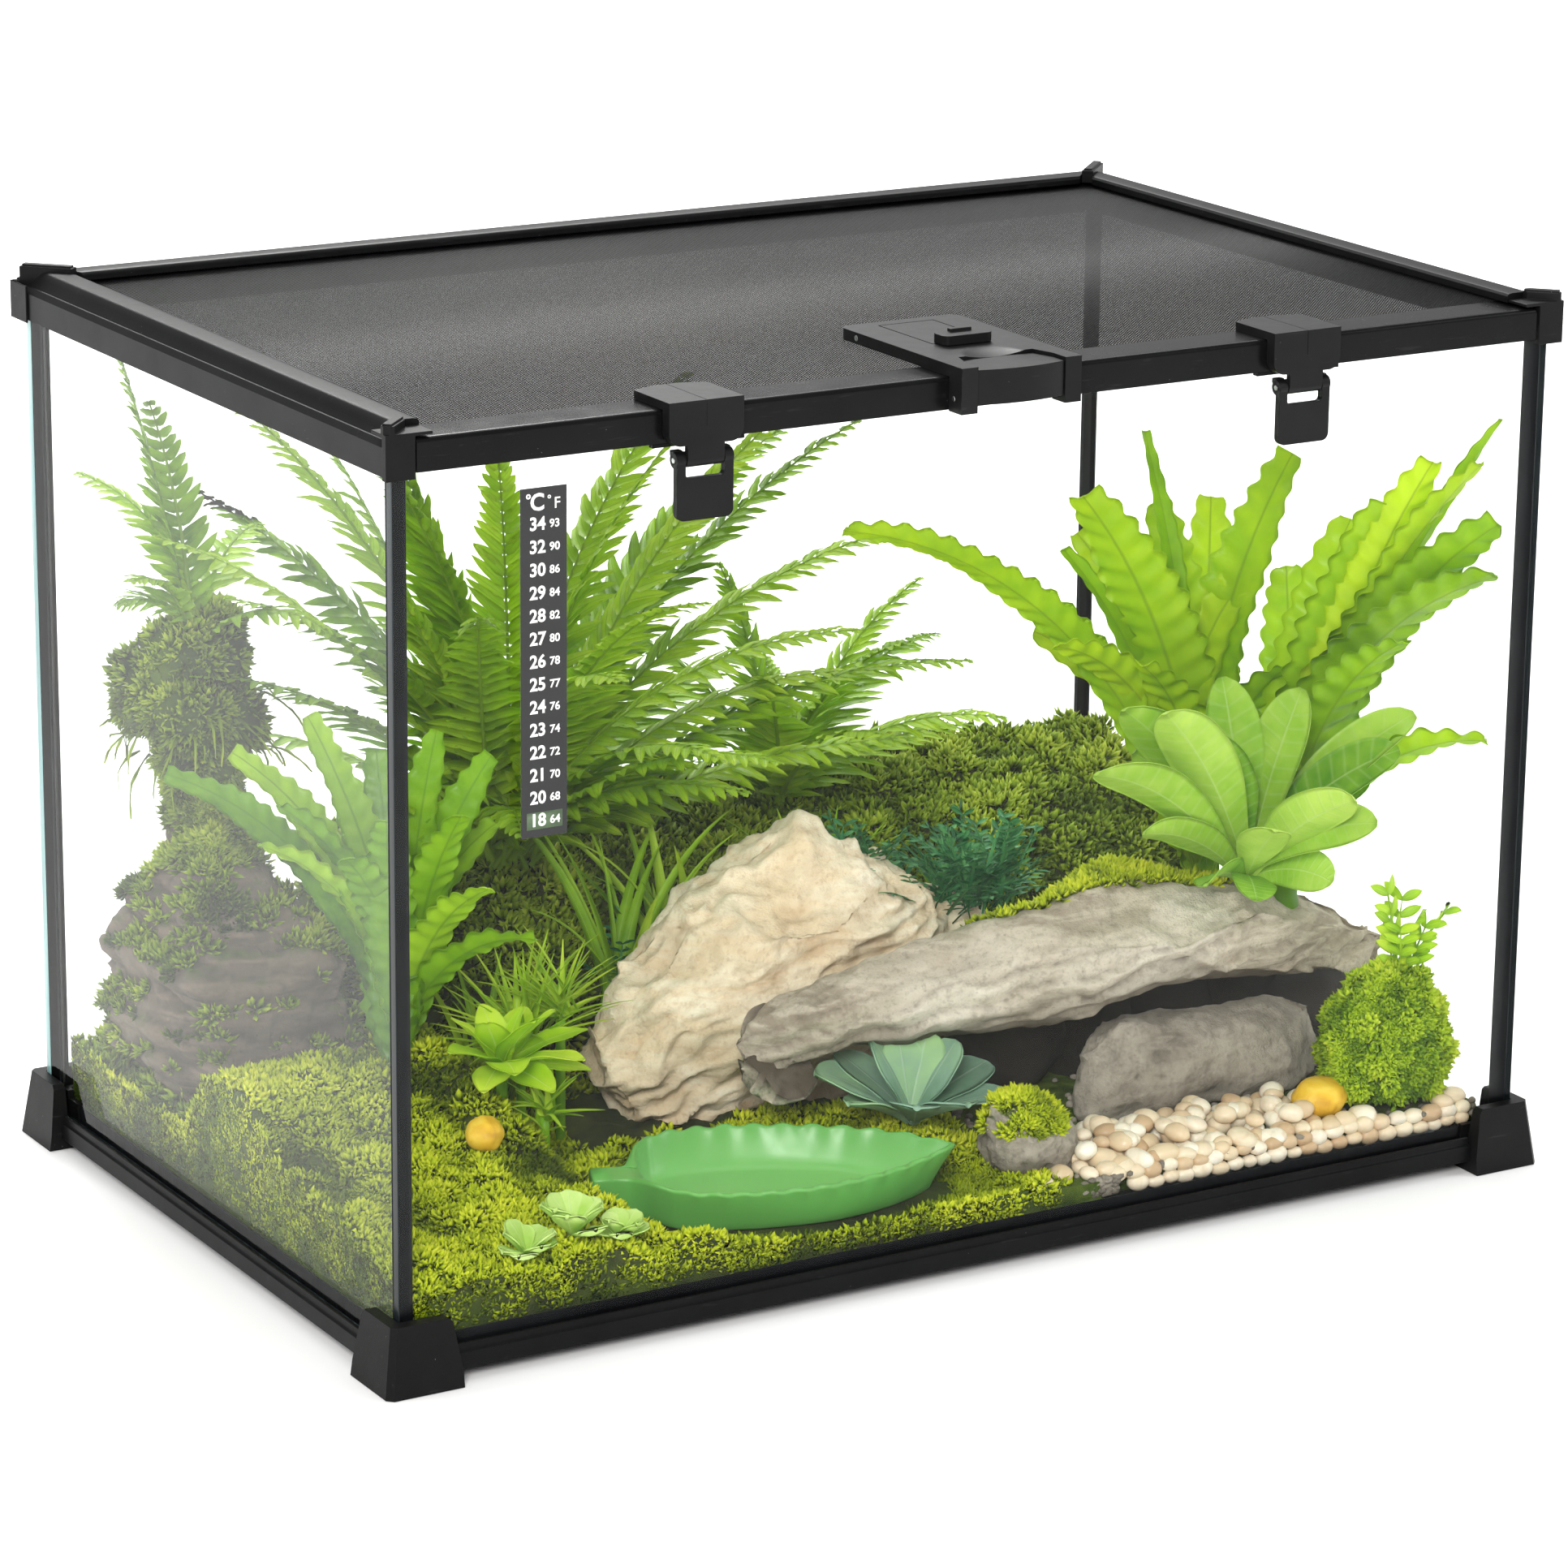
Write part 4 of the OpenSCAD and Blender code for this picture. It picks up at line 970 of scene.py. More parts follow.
def build_ground():
    nx, ny = 200, 124
    xs = np.linspace(-238.6, 238.6, nx)
    ys = np.linspace(-147.6, 147.6, ny)
    X, Y = np.meshgrid(xs, ys, indexing="ij")
    # the bed stands back from the front pane where pebbles are pressed against it
    Y = Y + 6.5 * smooth(X, 56, 66) * np.clip((-118 - Y) / 29.6, 0, 1)
    Z = surf_z(X.ravel(), Y.ravel()).reshape(X.shape)
    top = np.stack([X, Y, Z], -1).reshape(-1, 3)
    f = [grid_faces(nx, ny)]
    # skirt and underside
    border = np.concatenate([np.arange(nx) * ny, (nx - 1) * ny + np.arange(1, ny), (np.arange(nx - 2, -1, -1)) * ny + ny - 1,
                             np.arange(ny - 2, 0, -1)])
    nb = len(border)
    mid = top[border].copy()
    mid[:, 2] = 14.3 + (mid[:, 2] - 14.3) * 0.5
    low = top[border].copy()
    low[:, 2] = 14.15
    n0 = len(top)
    j = np.arange(nb)
    k = (j + 1) % nb
    f.append(np.stack([border[j], n0 + j, n0 + k, border[k]], 1))
    f.append(np.stack([n0 + j, n0 + nb + j, n0 + nb + k, n0 + k], 1))
    f.append((n0 + nb + np.arange(nb))[::-1][None])
    buf = Buf()
    buf.add(np.concatenate([top, mid, low]), f)
    buf_piece("ground", buf, M["soil"], "tank", ["substrate_bed", "moss_mound_left", "rear_mound"], 60)


# ------------------------------------------------------------------ tufts
def tufts(buf, pts, nrm, k, length, width, spread, seed, flat=0.5, lean=0.25, shade=None):
    """k tapering leaves round each point, each a closed sliver with three sides. shade, low in the hollows, makes tufts
    smaller there and paints shade into their colour.
    """
    rng = np.random.default_rng(seed)
    n = len(pts)
    shade = np.ones(n) if shade is None else np.clip(shade, 0, 1)
    az = rng.uniform(0, 2 * np.pi, (n, 1)) + np.arange(k)[None] * 2 * np.pi / k + rng.normal(0, 0.3, (n, k))
    tilt = spread * np.sqrt(rng.uniform(0.02, 1.0, (n, k)))
    nrm = nrm + rng.normal(0, lean, nrm.shape)
    nrm = nrm / np.linalg.norm(nrm, axis=1, keepdims=True)
    ref = np.where(np.abs(nrm[:, 2:3]) < 0.9, np.array([[0, 0, 1.0]]), np.array([[1.0, 0, 0]]))
    t1 = np.cross(nrm, ref)
    t1 /= np.linalg.norm(t1, axis=1, keepdims=True)
    t2 = np.cross(nrm, t1)
    rad = np.cos(az)[..., None] * t1[:, None] + np.sin(az)[..., None] * t2[:, None]
    side = -np.sin(az)[..., None] * t1[:, None] + np.cos(az)[..., None] * t2[:, None]
    d = np.cos(tilt)[..., None] * nrm[:, None] + np.sin(tilt)[..., None] * rad
    up = np.cross(side, d)
    size = rng.uniform(0.7, 1.25, (n, 1)) * rng.uniform(0.8, 1.2, (n, k)) * (0.75 + 0.35 * shade)[:, None]
    ln = (length * size)[..., None]
    w = (width * size)[..., None]
    base = pts[:, None] + rad * (w * 0.35)
    mid = base + d * ln * 0.55
    v = np.stack([base - up * w * flat * 0.4, mid + side * w * 0.5 + up * w * 0.1, mid - side * w * 0.5 + up * w * 0.1,
                  mid - up * w * flat * 0.5 - d * ln * 0.05, base + d * ln - up * ln * 0.10], 2)
    v = v.reshape(-1, 3)
    m = n * k
    o = (np.arange(m) * 5)[:, None]
    # base 0, right 1, left 2, keel 3, tip 4
    tri = np.array([[0, 2, 1], [0, 1, 3], [0, 3, 2], [1, 2, 4], [3, 1, 4], [2, 3, 4]])
    f = (o[:, :, None] + tri[None]).reshape(-1, 3)
    sh = np.repeat(shade, k * 5)
    # painted shade: la and lr, which set the tuft colour, are scaled down where shade is low
    la = np.tile(np.array([0.0, 0.6, 0.6, 0.35, 1.0]), m) * (0.30 + 0.70 * sh)
    lr = np.repeat((rng.uniform(0, 1, n)[:, None] * 0.6 + rng.uniform(0, 0.4, (n, k))).ravel(), 5) * (0.35 + 0.65 * sh)
    buf.add(v, [f], la=la, lr=lr)


def jitter_grid(x0, x1, y0, y1, step, seed):
    rng = np.random.default_rng(seed)
    xs = np.arange(x0, x1, step)
    ys = np.arange(y0, y1, step * 0.87)
    X, Y = np.meshgrid(xs, ys, indexing="ij")
    X = X + (np.arange(len(ys)) % 2)[None] * step / 2
    X = X + rng.uniform(-0.42, 0.42, X.shape) * step
    Y = Y + rng.uniform(-0.42, 0.42, Y.shape) * step
    X, Y = X.ravel(), Y.ravel()
    ok = (X > x0) & (X < x1) & (Y > y0) & (Y < y1)
    return X[ok], Y[ok]


def surf_normal(x, y, e=1.2):
    zx = (surf_z(x + e, y) - surf_z(x - e, y)) / (2 * e)
    zy = (surf_z(x, y + e) - surf_z(x, y - e)) / (2 * e)
    n = np.stack([-zx, -zy, np.ones_like(zx)], 1)
    return n / np.linalg.norm(n, axis=1, keepdims=True)


def off_dish(x, y, grow=1.0):
    return dish_e(x, y, grow) > 1


def build_moss():
    def field(name, x0, x1, y0, y1, step, k, length, width, seed, mat, keep=None, extra=None):
        x, y = jitter_grid(x0, x1, y0, y1, step, seed)
        ok = moss_mask(x, y) > np.random.default_rng(seed + 1).uniform(0.15, 0.85, len(x))
        ok &= off_dish(x, y)
        if keep is not None:
            ok &= keep(x, y)
        x, y = x[ok], y[ok]
        p = np.stack([x, y, surf_z(x, y) - 0.5], 1)
        n = surf_normal(x, y)
        lm = lumps(x, y)
        buf = Buf()
        # painted shade: tufts darker in the gaps between the moss lumps
        tufts(buf, p, n, k, length, width, 1.05, seed + 2, shade=(lm - 0.9) / 6.2)
        v = np.concatenate(buf.v)
        np.clip(v[:, 0], -238.9, 238.9, out=v[:, 0])
        np.clip(v[:, 1], -148.3, 148.3, out=v[:, 1])
        buf.v = [v]
        return buf_piece(name, buf, mat, "tank")
    field("moss_front", -236, 60, -147, -62, 2.4, 7, 3.5, 1.8, 21, M["moss"])
    field("moss_left", -237, -118, -62, 44, 2.7, 7, 3.8, 2.0, 31, M["moss"])
    field("moss_middle", -118, 30, -62, 44, 3.0, 7, 4.2, 2.1, 41, M["moss"],
          lambda x, y: ~((x > -102) & (x < 105) & (y > -34) & (y < 26)))
    field("moss_rear", -237, 237, 44, 147, 3.7, 7, 5.2, 2.4, 51, M["moss_painted_shade"])
    # moss pressed against the left, front and rear glass, down the side of the ground
    rng = np.random.default_rng(57)
    buf = Buf()

    def wall(count, u0, u1, at, nrm, axis, lo):
        u = rng.uniform(u0, u1, count)
        fix = np.full(count, at)
        sx, sy = (fix, u) if axis == 0 else (u, fix)
        hi = surf_z(sx, sy)
        f = rng.uniform(0, 1, count)
        z = lo + (hi - lo) * f
        ok = moss_mask(sx, sy) > 0.5
        q = np.stack([sx, sy, z], 1)[ok]
        # painted shade: tufts darker low down the wall, with noise
        sh = np.clip(0.10 + 0.75 * f[ok] + fbm(q / 11.0, 3, 58) * 0.9, 0, 1)
        tufts(buf, q, np.tile(np.array(nrm, float), (len(q), 1)), 6, 3.6, 2.0, 1.15, int(at) % 97 + 300, lean=0.4, shade=sh)
    def flush(name, mat):
        v = np.concatenate(buf.v)
        np.clip(v[:, 0], -238.9, 238.9, out=v[:, 0])
        np.clip(v[:, 1], -148.3, 148.3, out=v[:, 1])
        np.clip(v[:, 2], 14.6, 400, out=v[:, 2])
        buf.v = [v]
        buf_piece(name, buf, mat, "tank")
    wall(2500, -146, 146, -238.0, (-0.6, 0, 0.8), 0, 15.6)
    wall(800, -238, 64, -147.0, (0, -0.6, 0.8), 1, 15.6)
    wall(900, 44, 146, 238.0, (0.6, 0, 0.8), 0, 15.6)
    flush("moss_sides", M["moss"])
    buf = Buf()
    wall(4600, -238, 238, 147.0, (0, 0.6, 0.8), 1, 15.6)
    flush("moss_rear_side", M["moss_painted_shade"])


def sculpt(p, cuts, seed, lo_q=0.93, hi_q=0.985, prefer=None, long_x=False):
    """Planes off the outside of a lump so that it reads as broken stone."""
    rng = np.random.default_rng(seed)
    p = p.copy()
    dirs_ = rng.normal(size=(cuts, 3))
    dirs_[:, 2] *= 0.8
    dirs_ /= np.linalg.norm(dirs_, axis=1, keepdims=True)
    if prefer is not None:
        dirs_[:len(prefer)] = np.array(prefer, float) / np.linalg.norm(prefer, axis=1, keepdims=True)
    for i, d in enumerate(dirs_):
        q = p @ d
        hi = hi_q
        lo = lo_q
        if long_x and abs(d[0]) > 0.4:
            lo, hi = 0.996, 0.999
        o = np.quantile(q, rng.uniform(lo, hi))
        o = o + fbm(p / 22.0, 2, seed + i) * 1.2
        over = np.maximum(q - o, 0)
        p -= d * (over * 0.92)[:, None]
    return p


def rock(node, name, mat, voxel, shape, moss=None, cuts=0, seed=0, prefer=None, warp=None, long_x=False):
    """Remeshes the CAD lump evenly and carves it with noise, keeping to its outline."""
    ob = cad_copy(node, name)
    rm = ob.modifiers.new("remesh", "REMESH")
    rm.mode = "VOXEL"
    rm.voxel_size = voxel / 1000.0
    applied(ob)
    sm = ob.modifiers.new("smooth", "SMOOTH")
    sm.iterations = 6
    sm.factor = 0.5
    me = applied(ob)
    n = len(me.vertices)
    co = np.zeros(n * 3)
    me.vertices.foreach_get("co", co)
    co = co.reshape(-1, 3) * 1000.0
    nr = np.zeros(n * 3)
    if cuts:
        nr0 = np.zeros(n * 3)
        me.vertices.foreach_get("normal", nr0)
        co = co + nr0.reshape(-1, 3) * 2.6
        if warp:
            co = warp(co)
        co = sculpt(co, cuts, seed, prefer=prefer, long_x=long_x)
        me.vertices.foreach_set("co", (co / 1000.0).astype(np.float32).ravel())
        me.update()
    me.vertices.foreach_get("normal", nr)
    nr = nr.reshape(-1, 3)
    disp, cav = shape(co, nr)
    out = co + nr * disp[:, None]
    out[:, 0] = np.clip(out[:, 0], -238.7, 238.7)
    out[:, 1] = np.clip(out[:, 1], -147.7 + YS, 147.7 + YS)
    me.vertices.foreach_set("co", (out / 1000.0).astype(np.float32).ravel())
    me.update()
    # lc: the painted shade that the shape gives, darker in hollows, under ledges and on undersides
    at = me.attributes.new("lc", "FLOAT", "POINT")
    at.data.foreach_set("value", np.clip(cav, 0, 1).astype(np.float32))
    nr2 = np.zeros(n * 3)
    me.vertices.foreach_get("normal", nr2)
    nr2 = nr2.reshape(-1, 3)
    at = me.attributes.new("la", "FLOAT", "POINT")
    at.data.foreach_set("value", (np.clip(moss(out, nr2), 0, 1) if moss else np.zeros(n)).astype(np.float32))
    me.materials.clear()
    me.materials.append(mat)
    me.polygons.foreach_set("use_smooth", np.ones(len(me.polygons), bool))
    me.update()
    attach(ob, "tank")
    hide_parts(node)
    return ob, out, nr2


def sand_shape(p, n):
    warp = np.stack([fbm(p / 38.0, 3, s) for s in (1, 2, 3)], 1) * 15
    q = p + warp
    big = fbm(p / 34.0, 4, 7) * 4.5
    # broken hollows with sharp ridges between them, wide and low as layered stone breaks
    t = np.array([0.22, 0.10, 1.0])
    sh = q + np.outer(q[:, 0], [0, 0, -0.30])
    a, ra = cells(sh / np.array([34.0, 30.0, 15.0]), 4)
    b, rb = cells(sh / np.array([15.0, 14.0, 6.5]), 14)
    lay = sh[:, 2] * 0.105
    st = lay - np.floor(lay)
    ledge = np.where(st < 0.78, st / 0.78, (1 - st) / 0.22)
    side = 1 - 0.5 * np.abs(n[:, 2])
    fine = fbm(p / 4.6, 4, 9) * 0.8
    a2, b2 = np.clip(a, 0, 1.1) ** 1.7, np.clip(b, 0, 1.1) ** 1.6
    d = big + a2 * 9.8 + b2 * 4.4 + ledge * 2.8 * side + fine - 7.8
    # cav: painted shade, in the hollows, under the ledges and on the undersides
    cav = (np.clip(0.50 - a, 0, 1) * 1.0 * side + np.clip(0.34 - b, 0, 1) * 0.9 + np.clip(0.35 - ledge, 0, 1) * 0.55 * side
           + np.clip(-fbm(p / 7.0, 3, 12), 0, 1) * 0.3 + np.clip(-n[:, 2] - 0.1, 0, 1) * 0.7)
    return d, cav


def slab_shape(p, n):
    q = p + np.stack([fbm(p / 30.0, 3, s) for s in (21, 22, 23)], 1) * 9
    # long shallow layers along the slab, tilted as it lies
    sh = q[:, 2] - q[:, 0] * 0.20 + q[:, 1] * 0.15
    lay = sh * 0.105
    st = lay - np.floor(lay)
    ledge = np.where(st < 0.82, st / 0.82, (1 - st) / 0.18)
    side = smooth(-np.abs(n[:, 2]), -0.80, -0.30)
    a, _ = cells(q / np.array([52.0, 24.0, 14.0]), 24)
    b, _ = cells(q / np.array([22.0, 12.0, 6.0]), 25)
    big = fbm(p / 26.0, 4, 27) * 3.2
    fine = fbm(p / 3.8, 4, 29) * 0.7
    pit, _ = cells(p / 5.6, 6)
    gate = smooth(fbm(p / 18.0, 2, 30), 0.05, 0.5)
    pits = -np.clip(0.30 - pit, 0, 1) * 2.0 * gate
    a2, b2 = np.clip(a, 0, 1.1) ** 1.6, np.clip(b, 0, 1.1) ** 1.6
    d = big + fine + pits + ledge * 3.4 * side + a2 * 5.0 + b2 * 2.0 - 6.0
    # cav: painted shade, in the pits, under the ledges, in the hollows and on the undersides
    cav = (np.clip(0.30 - pit, 0, 1) * 0.8 * gate + np.clip(0.28 - ledge, 0, 1) * side * 1.2 + np.clip(0.42 - a, 0, 1) * 0.7
           + np.clip(0.34 - b, 0, 1) * 0.7 + np.clip(-n[:, 2] * 1.0, 0, 1))
    return d, cav


def grey_shape(p, n):
    q = p + np.stack([fbm(p / 20.0, 3, s) for s in (41, 42, 43)], 1) * 7
    r = ridged(q / np.array([20.0, 20.0, 10.0]), 4, 45)
    a, _ = cells(q / np.array([24.0, 20.0, 13.0]), 46)
    pit, _ = cells(p / 4.2, 48)
    d = fbm(p / 17.0, 4, 47) * 2.8 + r * 1.3 + fbm(p / 3.4, 4, 49) * 0.8 + np.clip(a, 0, 1.1) ** 1.6 * 3.6 - np.clip(0.34 - pit, 0, 1) * 2.2 - 3.0
    # the second value is painted shade: in the ridged lows, the pits, the hollows and on undersides
    return d, np.clip(-r, 0, 1) * 0.6 + np.clip(0.34 - pit, 0, 1) * 1.2 + np.clip(-n[:, 2] * 0.8, 0, 1) + np.clip(0.3 - a, 0, 1) * 0.6


def wall_shape(p, n):
    q = p + np.stack([fbm(p / 34.0, 3, s) for s in (61, 62, 63)], 1) * 15
    lay = q[:, 2] * 0.085 + q[:, 0] * 0.008
    st = lay - np.floor(lay)
    ledge = np.where(st < 0.8, st / 0.8, (1 - st) / 0.2)
    r = ridged(q / np.array([30.0, 30.0, 15.0]), 4, 65)
    a, _ = cells(q / np.array([30.0, 26.0, 16.0]), 66)
    side = 1 - 0.6 * np.abs(n[:, 2])
    shelf = np.exp(-((p[:, 2] - 90) / 7.0) ** 2) * 5.0 * smooth(-p[:, 0], 120, 170)
    d = fbm(p / 30.0, 4, 67) * 6.0 + ledge * 4.6 * side + r * 2.2 + np.clip(a, 0, 1.1) ** 1.6 * 5.0 + fbm(p / 4.0, 4, 69) * 1.1 + shelf - 8.5
    # the second value is painted shade: under the ledges, in the ridged lows and in the hollows
    return d, np.clip(0.45 - ledge, 0, 1) * side + np.clip(-r, 0, 1) * 0.5 + np.clip(0.35 - a, 0, 1) * 0.6


def on_top(lo, hi, s):
    def f(p, n):
        return smooth(n[:, 2] + fbm(p / 14.0, 3, s) * 0.6, lo, hi)
    return f


ROCKS = {}


def build_rocks():
    ROCKS["sand"] = rock("sandstone_rock", "sandstone_block", M["sandstone"], 1.6, sand_shape, None, 16, 5,
                         [(-0.5, -0.8, 0.5), (0.3, -0.9, 0.35), (-0.2, -0.55, 0.85), (0.5, -0.4, 0.8), (-0.75, -0.3, 0.6)])
    ROCKS["slab"] = rock("cave_slab", "cave_slab_stone", M["slab"], 1.6, slab_shape,
                         lambda p, n: smooth(n[:, 2], 0.1, 0.7) * smooth(-np.abs(p[:, 0] - 95), -70, -30) * smooth(p[:, 1] - YS, -78, -66),
                         22, 11, [(0.0, -0.25, 0.97), (-0.1, -0.95, 0.25), (0.25, -0.9, 0.35), (0.0, -0.8, -0.6), (0.1, -0.1, 0.99),
                                  (0.15, -0.97, 0.1), (0.0, -0.6, 0.8)], None, True)

    def broad(co):
        co = co.copy()
        cx = (co[:, 0].min() + co[:, 0].max()) / 2
        cz, rx, rz = 40.0, (co[:, 0].max() - co[:, 0].min()) / 2, 24.0
        u, w = (co[:, 0] - cx) / rx, (co[:, 2] - cz) / rz
        k = np.sqrt(u ** 2 + w ** 2) / np.maximum((u ** 4 + w ** 4) ** 0.25, 1e-6)
        k = 1 + (k - 1) * 0.9
        co[:, 0] = cx + 3.0 + u * k * rx * 1.06
        co[:, 2] = cz + w * k * rz * 1.16 - (co[:, 0] - cx) * 0.05
        return co
    ROCKS["boulder"] = rock("cave_boulder", "cave_boulder_stone", M["boulder"], 1.3, grey_shape, None, 16, 21,
                            [(0.0, -0.98, 0.2), (0.2, -0.5, 0.85), (-0.5, -0.8, 0.3)], broad)
    ROCKS["small"] = rock("small_grey_rock", "small_grey_stone", M["boulder"], 0.9, grey_shape, on_top(0.75, 1.0, 3), 10, 31,
                          [(0.7, -0.6, 0.4), (0.2, -0.95, 0.2)])

    def lean(co):
        """Narrows the wall to a mossy neck near its top."""
        z = co[:, 2]
        s = np.interp(z, [20, 84, 108, 124, 140, 160, 190], [1.0, 0.99, 0.86, 0.66, 0.46, 0.40, 0.40])
        ax = np.interp(z, [20, 84, 140, 190], [-190, -194, -202, -206])
        ay = np.interp(z, [20, 84, 140, 190], [60, 74, 88, 92]) + YS
        co = co.copy()
        co[:, 0] = ax + (co[:, 0] - ax) * s
        co[:, 1] = ay + (co[:, 1] - ay) * s
        return co
    ROCKS["wall"] = rock("rock_wall", "rock_wall_stone", M["wall"], 2.0, wall_shape, on_top(0.55, 1.0, 5), 18, 41,
                         [(-0.95, -0.2, 0.2), (0.2, -0.95, 0.2), (-0.3, -0.8, 0.5)], lean)
    # near-black blobs at the back of the cave: painted shadow, standing for the shade inside the cave
    buf = Buf()
    for i, (cx, cy, cz, r) in enumerate(((88, -30, 42, 25), (124, -30, 44, 27), (160, -32, 46, 29), (194, -38, 46, 28), (214, -60, 40, 22))):
        V, F = ICO[4]
        k = 1 + fbm(V * 1.5 + i * 5.0, 4, 17) * 0.22
        vv = V * k[:, None] * r * np.array([1.0, 0.8, 1.0]) + np.array([cx, cy, cz], float)
        vv[:, 0] = np.clip(vv[:, 0], -237.6, 237.6)
        vv[:, 2] = np.maximum(vv[:, 2], 16)
        buf.add(vv, [F], lc=0.4, lr=0.2)
    buf_piece("cave_back_painted_shadow", buf, M["cave"], "tank", (), 60)


def rock_tufts(name, key, mat, want, k, length, width, seed, count):
    ob, p, n = ROCKS[key]
    rng = np.random.default_rng(seed)
    x = p.copy()
    x[:, 1] -= YS
    w = want(x, n)
    pick = np.nonzero(rng.uniform(0, 1, len(x)) < w)[0]
    if len(pick) > count:
        pick = rng.choice(pick, count, replace=False)
    buf = Buf()
    pts = x[pick] + n[pick] * -0.3
    # painted light and shade: tufts lighter where they face up, darker where they face down, with noise
    sh = np.clip(0.42 + 0.35 * n[pick, 2] + fbm(pts / 8.0, 3, seed) * 1.1, 0, 1)
    tufts(buf, pts, n[pick], k, length, width, 1.1, seed + 1, shade=sh)
    v = np.concatenate(buf.v)
    np.clip(v[:, 0], -238.9, 238.9, out=v[:, 0])
    np.clip(v[:, 1], -148.3, 148.3, out=v[:, 1])
    buf.v = [v]
    return buf_piece(name, buf, mat, "tank")


def build_rock_moss():
    rock_tufts("moss_on_wall", "wall", M["moss_painted_shade"],
               lambda x, n: smooth(n[:, 2] + fbm(x / 16.0, 3, 71) * 0.9 - n[:, 0] * 0.25 + smooth(x[:, 2], 124, 150), 0.62, 1.0) * 0.7 * (x[:, 2] > 36),
               7, 5.0, 1.8, 61, 3800)
    rock_tufts("moss_on_slab", "slab", M["moss"],
               lambda x, n: (smooth(n[:, 2], 0.1, 0.6) * smooth(-np.abs(x[:, 0] - 112), -62, -34)
                             * smooth(x[:, 1], -76, -64)) * 0.9, 7, 4.6, 2.0, 71, 2200)
    rock_tufts("moss_on_small_rock", "small", M["moss"],
               lambda x, n: smooth(n[:, 2] + fbm(x / 8.0, 2, 73) * 0.5, 0.45, 0.8) * (x[:, 2] > np.quantile(x[:, 2], 0.70)) * 0.95, 7, 3.8, 1.9, 81, 900)
    # round moss bush at the right front
    lo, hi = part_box("moss_bush")
    x0, x1, y0, y1, top = lo.x * 1000, hi.x * 1000, lo.y * 1000 - YS, hi.y * 1000 - YS, hi.z * 1000 + 4
    x0 -= 3
    c = np.array([(x0 + x1) / 2, (y0 + y1) / 2, 0.0])
    rx, ry = (x1 - x0) / 2, (y1 - y0) / 2
    zc = 22 + (top - 22) * 0.40
    rad = np.array([rx, ry, top - zc])

    def bumps(d):
        cd, cr = cells(d * 3.4 + fbm(d * 5.0, 2, 92)[:, None] * 0.3, 95)
        return fbm(d * 2.4, 3, 93) * 0.07, np.clip(1 - cd * 1.2, 0, 1) * (0.55 + 0.9 * cr)
    rng = np.random.default_rng(91)
    n = 4700
    u = rng.uniform(-0.55, 1, n)
    a = rng.uniform(0, 2 * np.pi, n)
    s = np.sqrt(1 - u * u)
    d = np.stack([s * np.cos(a), s * np.sin(a), u], 1)
    b0, b1 = bumps(d)
    p = c + np.array([0, 0, zc]) + d * rad * (0.86 + b0 + b1 * 0.17)[:, None]
    nn = d / rad
    nn /= np.linalg.norm(nn, axis=1, keepdims=True)
    ok = p[:, 2] > 20
    p, nn = p[ok], nn[ok]
    buf = Buf()
    # painted shade: tufts darker in the gaps between the bumps
    tufts(buf, p - nn * 1.4, nn, 6, 3.3, 2.1, 1.15, 97, lean=0.35, shade=b1[ok] * 1.15)
    v = np.concatenate(buf.v)
    np.clip(v[:, 0], -238.9, 238.9, out=v[:, 0])
    np.clip(v[:, 1], -148.3, 148.3, out=v[:, 1])
    buf.v = [v]
    # dark core so that no light shows through; its dark colour is painted shade for the deep inside of the bush
    nu, nv = 34, 24
    U, W_ = np.meshgrid(np.arange(nu) * 2 * np.pi / nu, np.linspace(-0.6, 0.998, nv), indexing="ij")
    sx = np.sqrt(np.clip(1 - W_ ** 2, 0, 1))
    cd = np.stack([sx * np.cos(U), sx * np.sin(U), W_], -1).reshape(-1, 3)
    e0, e1 = bumps(cd)
    core = c + np.array([0, 0, zc]) + cd * (rad - 2.4) * (0.86 + e0 + e1 * 0.15)[:, None]
    core[:, 2] = np.maximum(core[:, 2], 20)
    core[:, 0] = np.clip(core[:, 0], -238.5, 238.5)
    core[:, 1] = np.clip(core[:, 1], -147.9, 147.9)
    f = grid_faces(nu, nv, wrap_u=True)
    bottom = (np.arange(nu) * nv)[::-1][None]
    topcap = (np.arange(nu) * nv + nv - 1)[None]
    buf.add(core, [f, bottom, topcap], la=0.05, lr=0.1)
    buf_piece("moss_bush_round", buf, M["moss_bush"], "tank", ["moss_bush"])
    # the mossy head of the rock wall, with roots and strands hanging from it
    buf = Buf()
    for i, (bx, by, bz, r) in enumerate(((-206, 98, 202, 20), (-216, 108, 190, 18), (-214, 84, 186, 16), (-200, 90, 182, 17),
                                         (-196, 104, 214, 12), (-208, 92, 168, 14))):
        V, F = ICO[4]
        k = 1 + fbm(V * 1.6 + i * 7.0, 3, 7) * 0.30
        vv = V * k[:, None] * r * np.array([1.0, 1.15, 0.85]) + np.array([bx, by, bz], float)
        vv[:, 0] = np.clip(vv[:, 0], -237.6, 237.6)
        vv[:, 1] = np.clip(vv[:, 1], -147, 147)
        # dark blobs under the tufts: painted shade for the inside of the moss
        buf.add(vv, [F], la=0.08, lr=0.15)
        m_ = 300
        dd = rng.normal(size=(m_, 3))
        dd /= np.linalg.norm(dd, axis=1, keepdims=True)
        kk = 1 + fbm(dd * 1.6 + i * 7.0, 3, 7) * 0.30
        pp = dd * kk[:, None] * r * np.array([1.0, 1.15, 0.85]) + np.array([bx, by, bz], float)
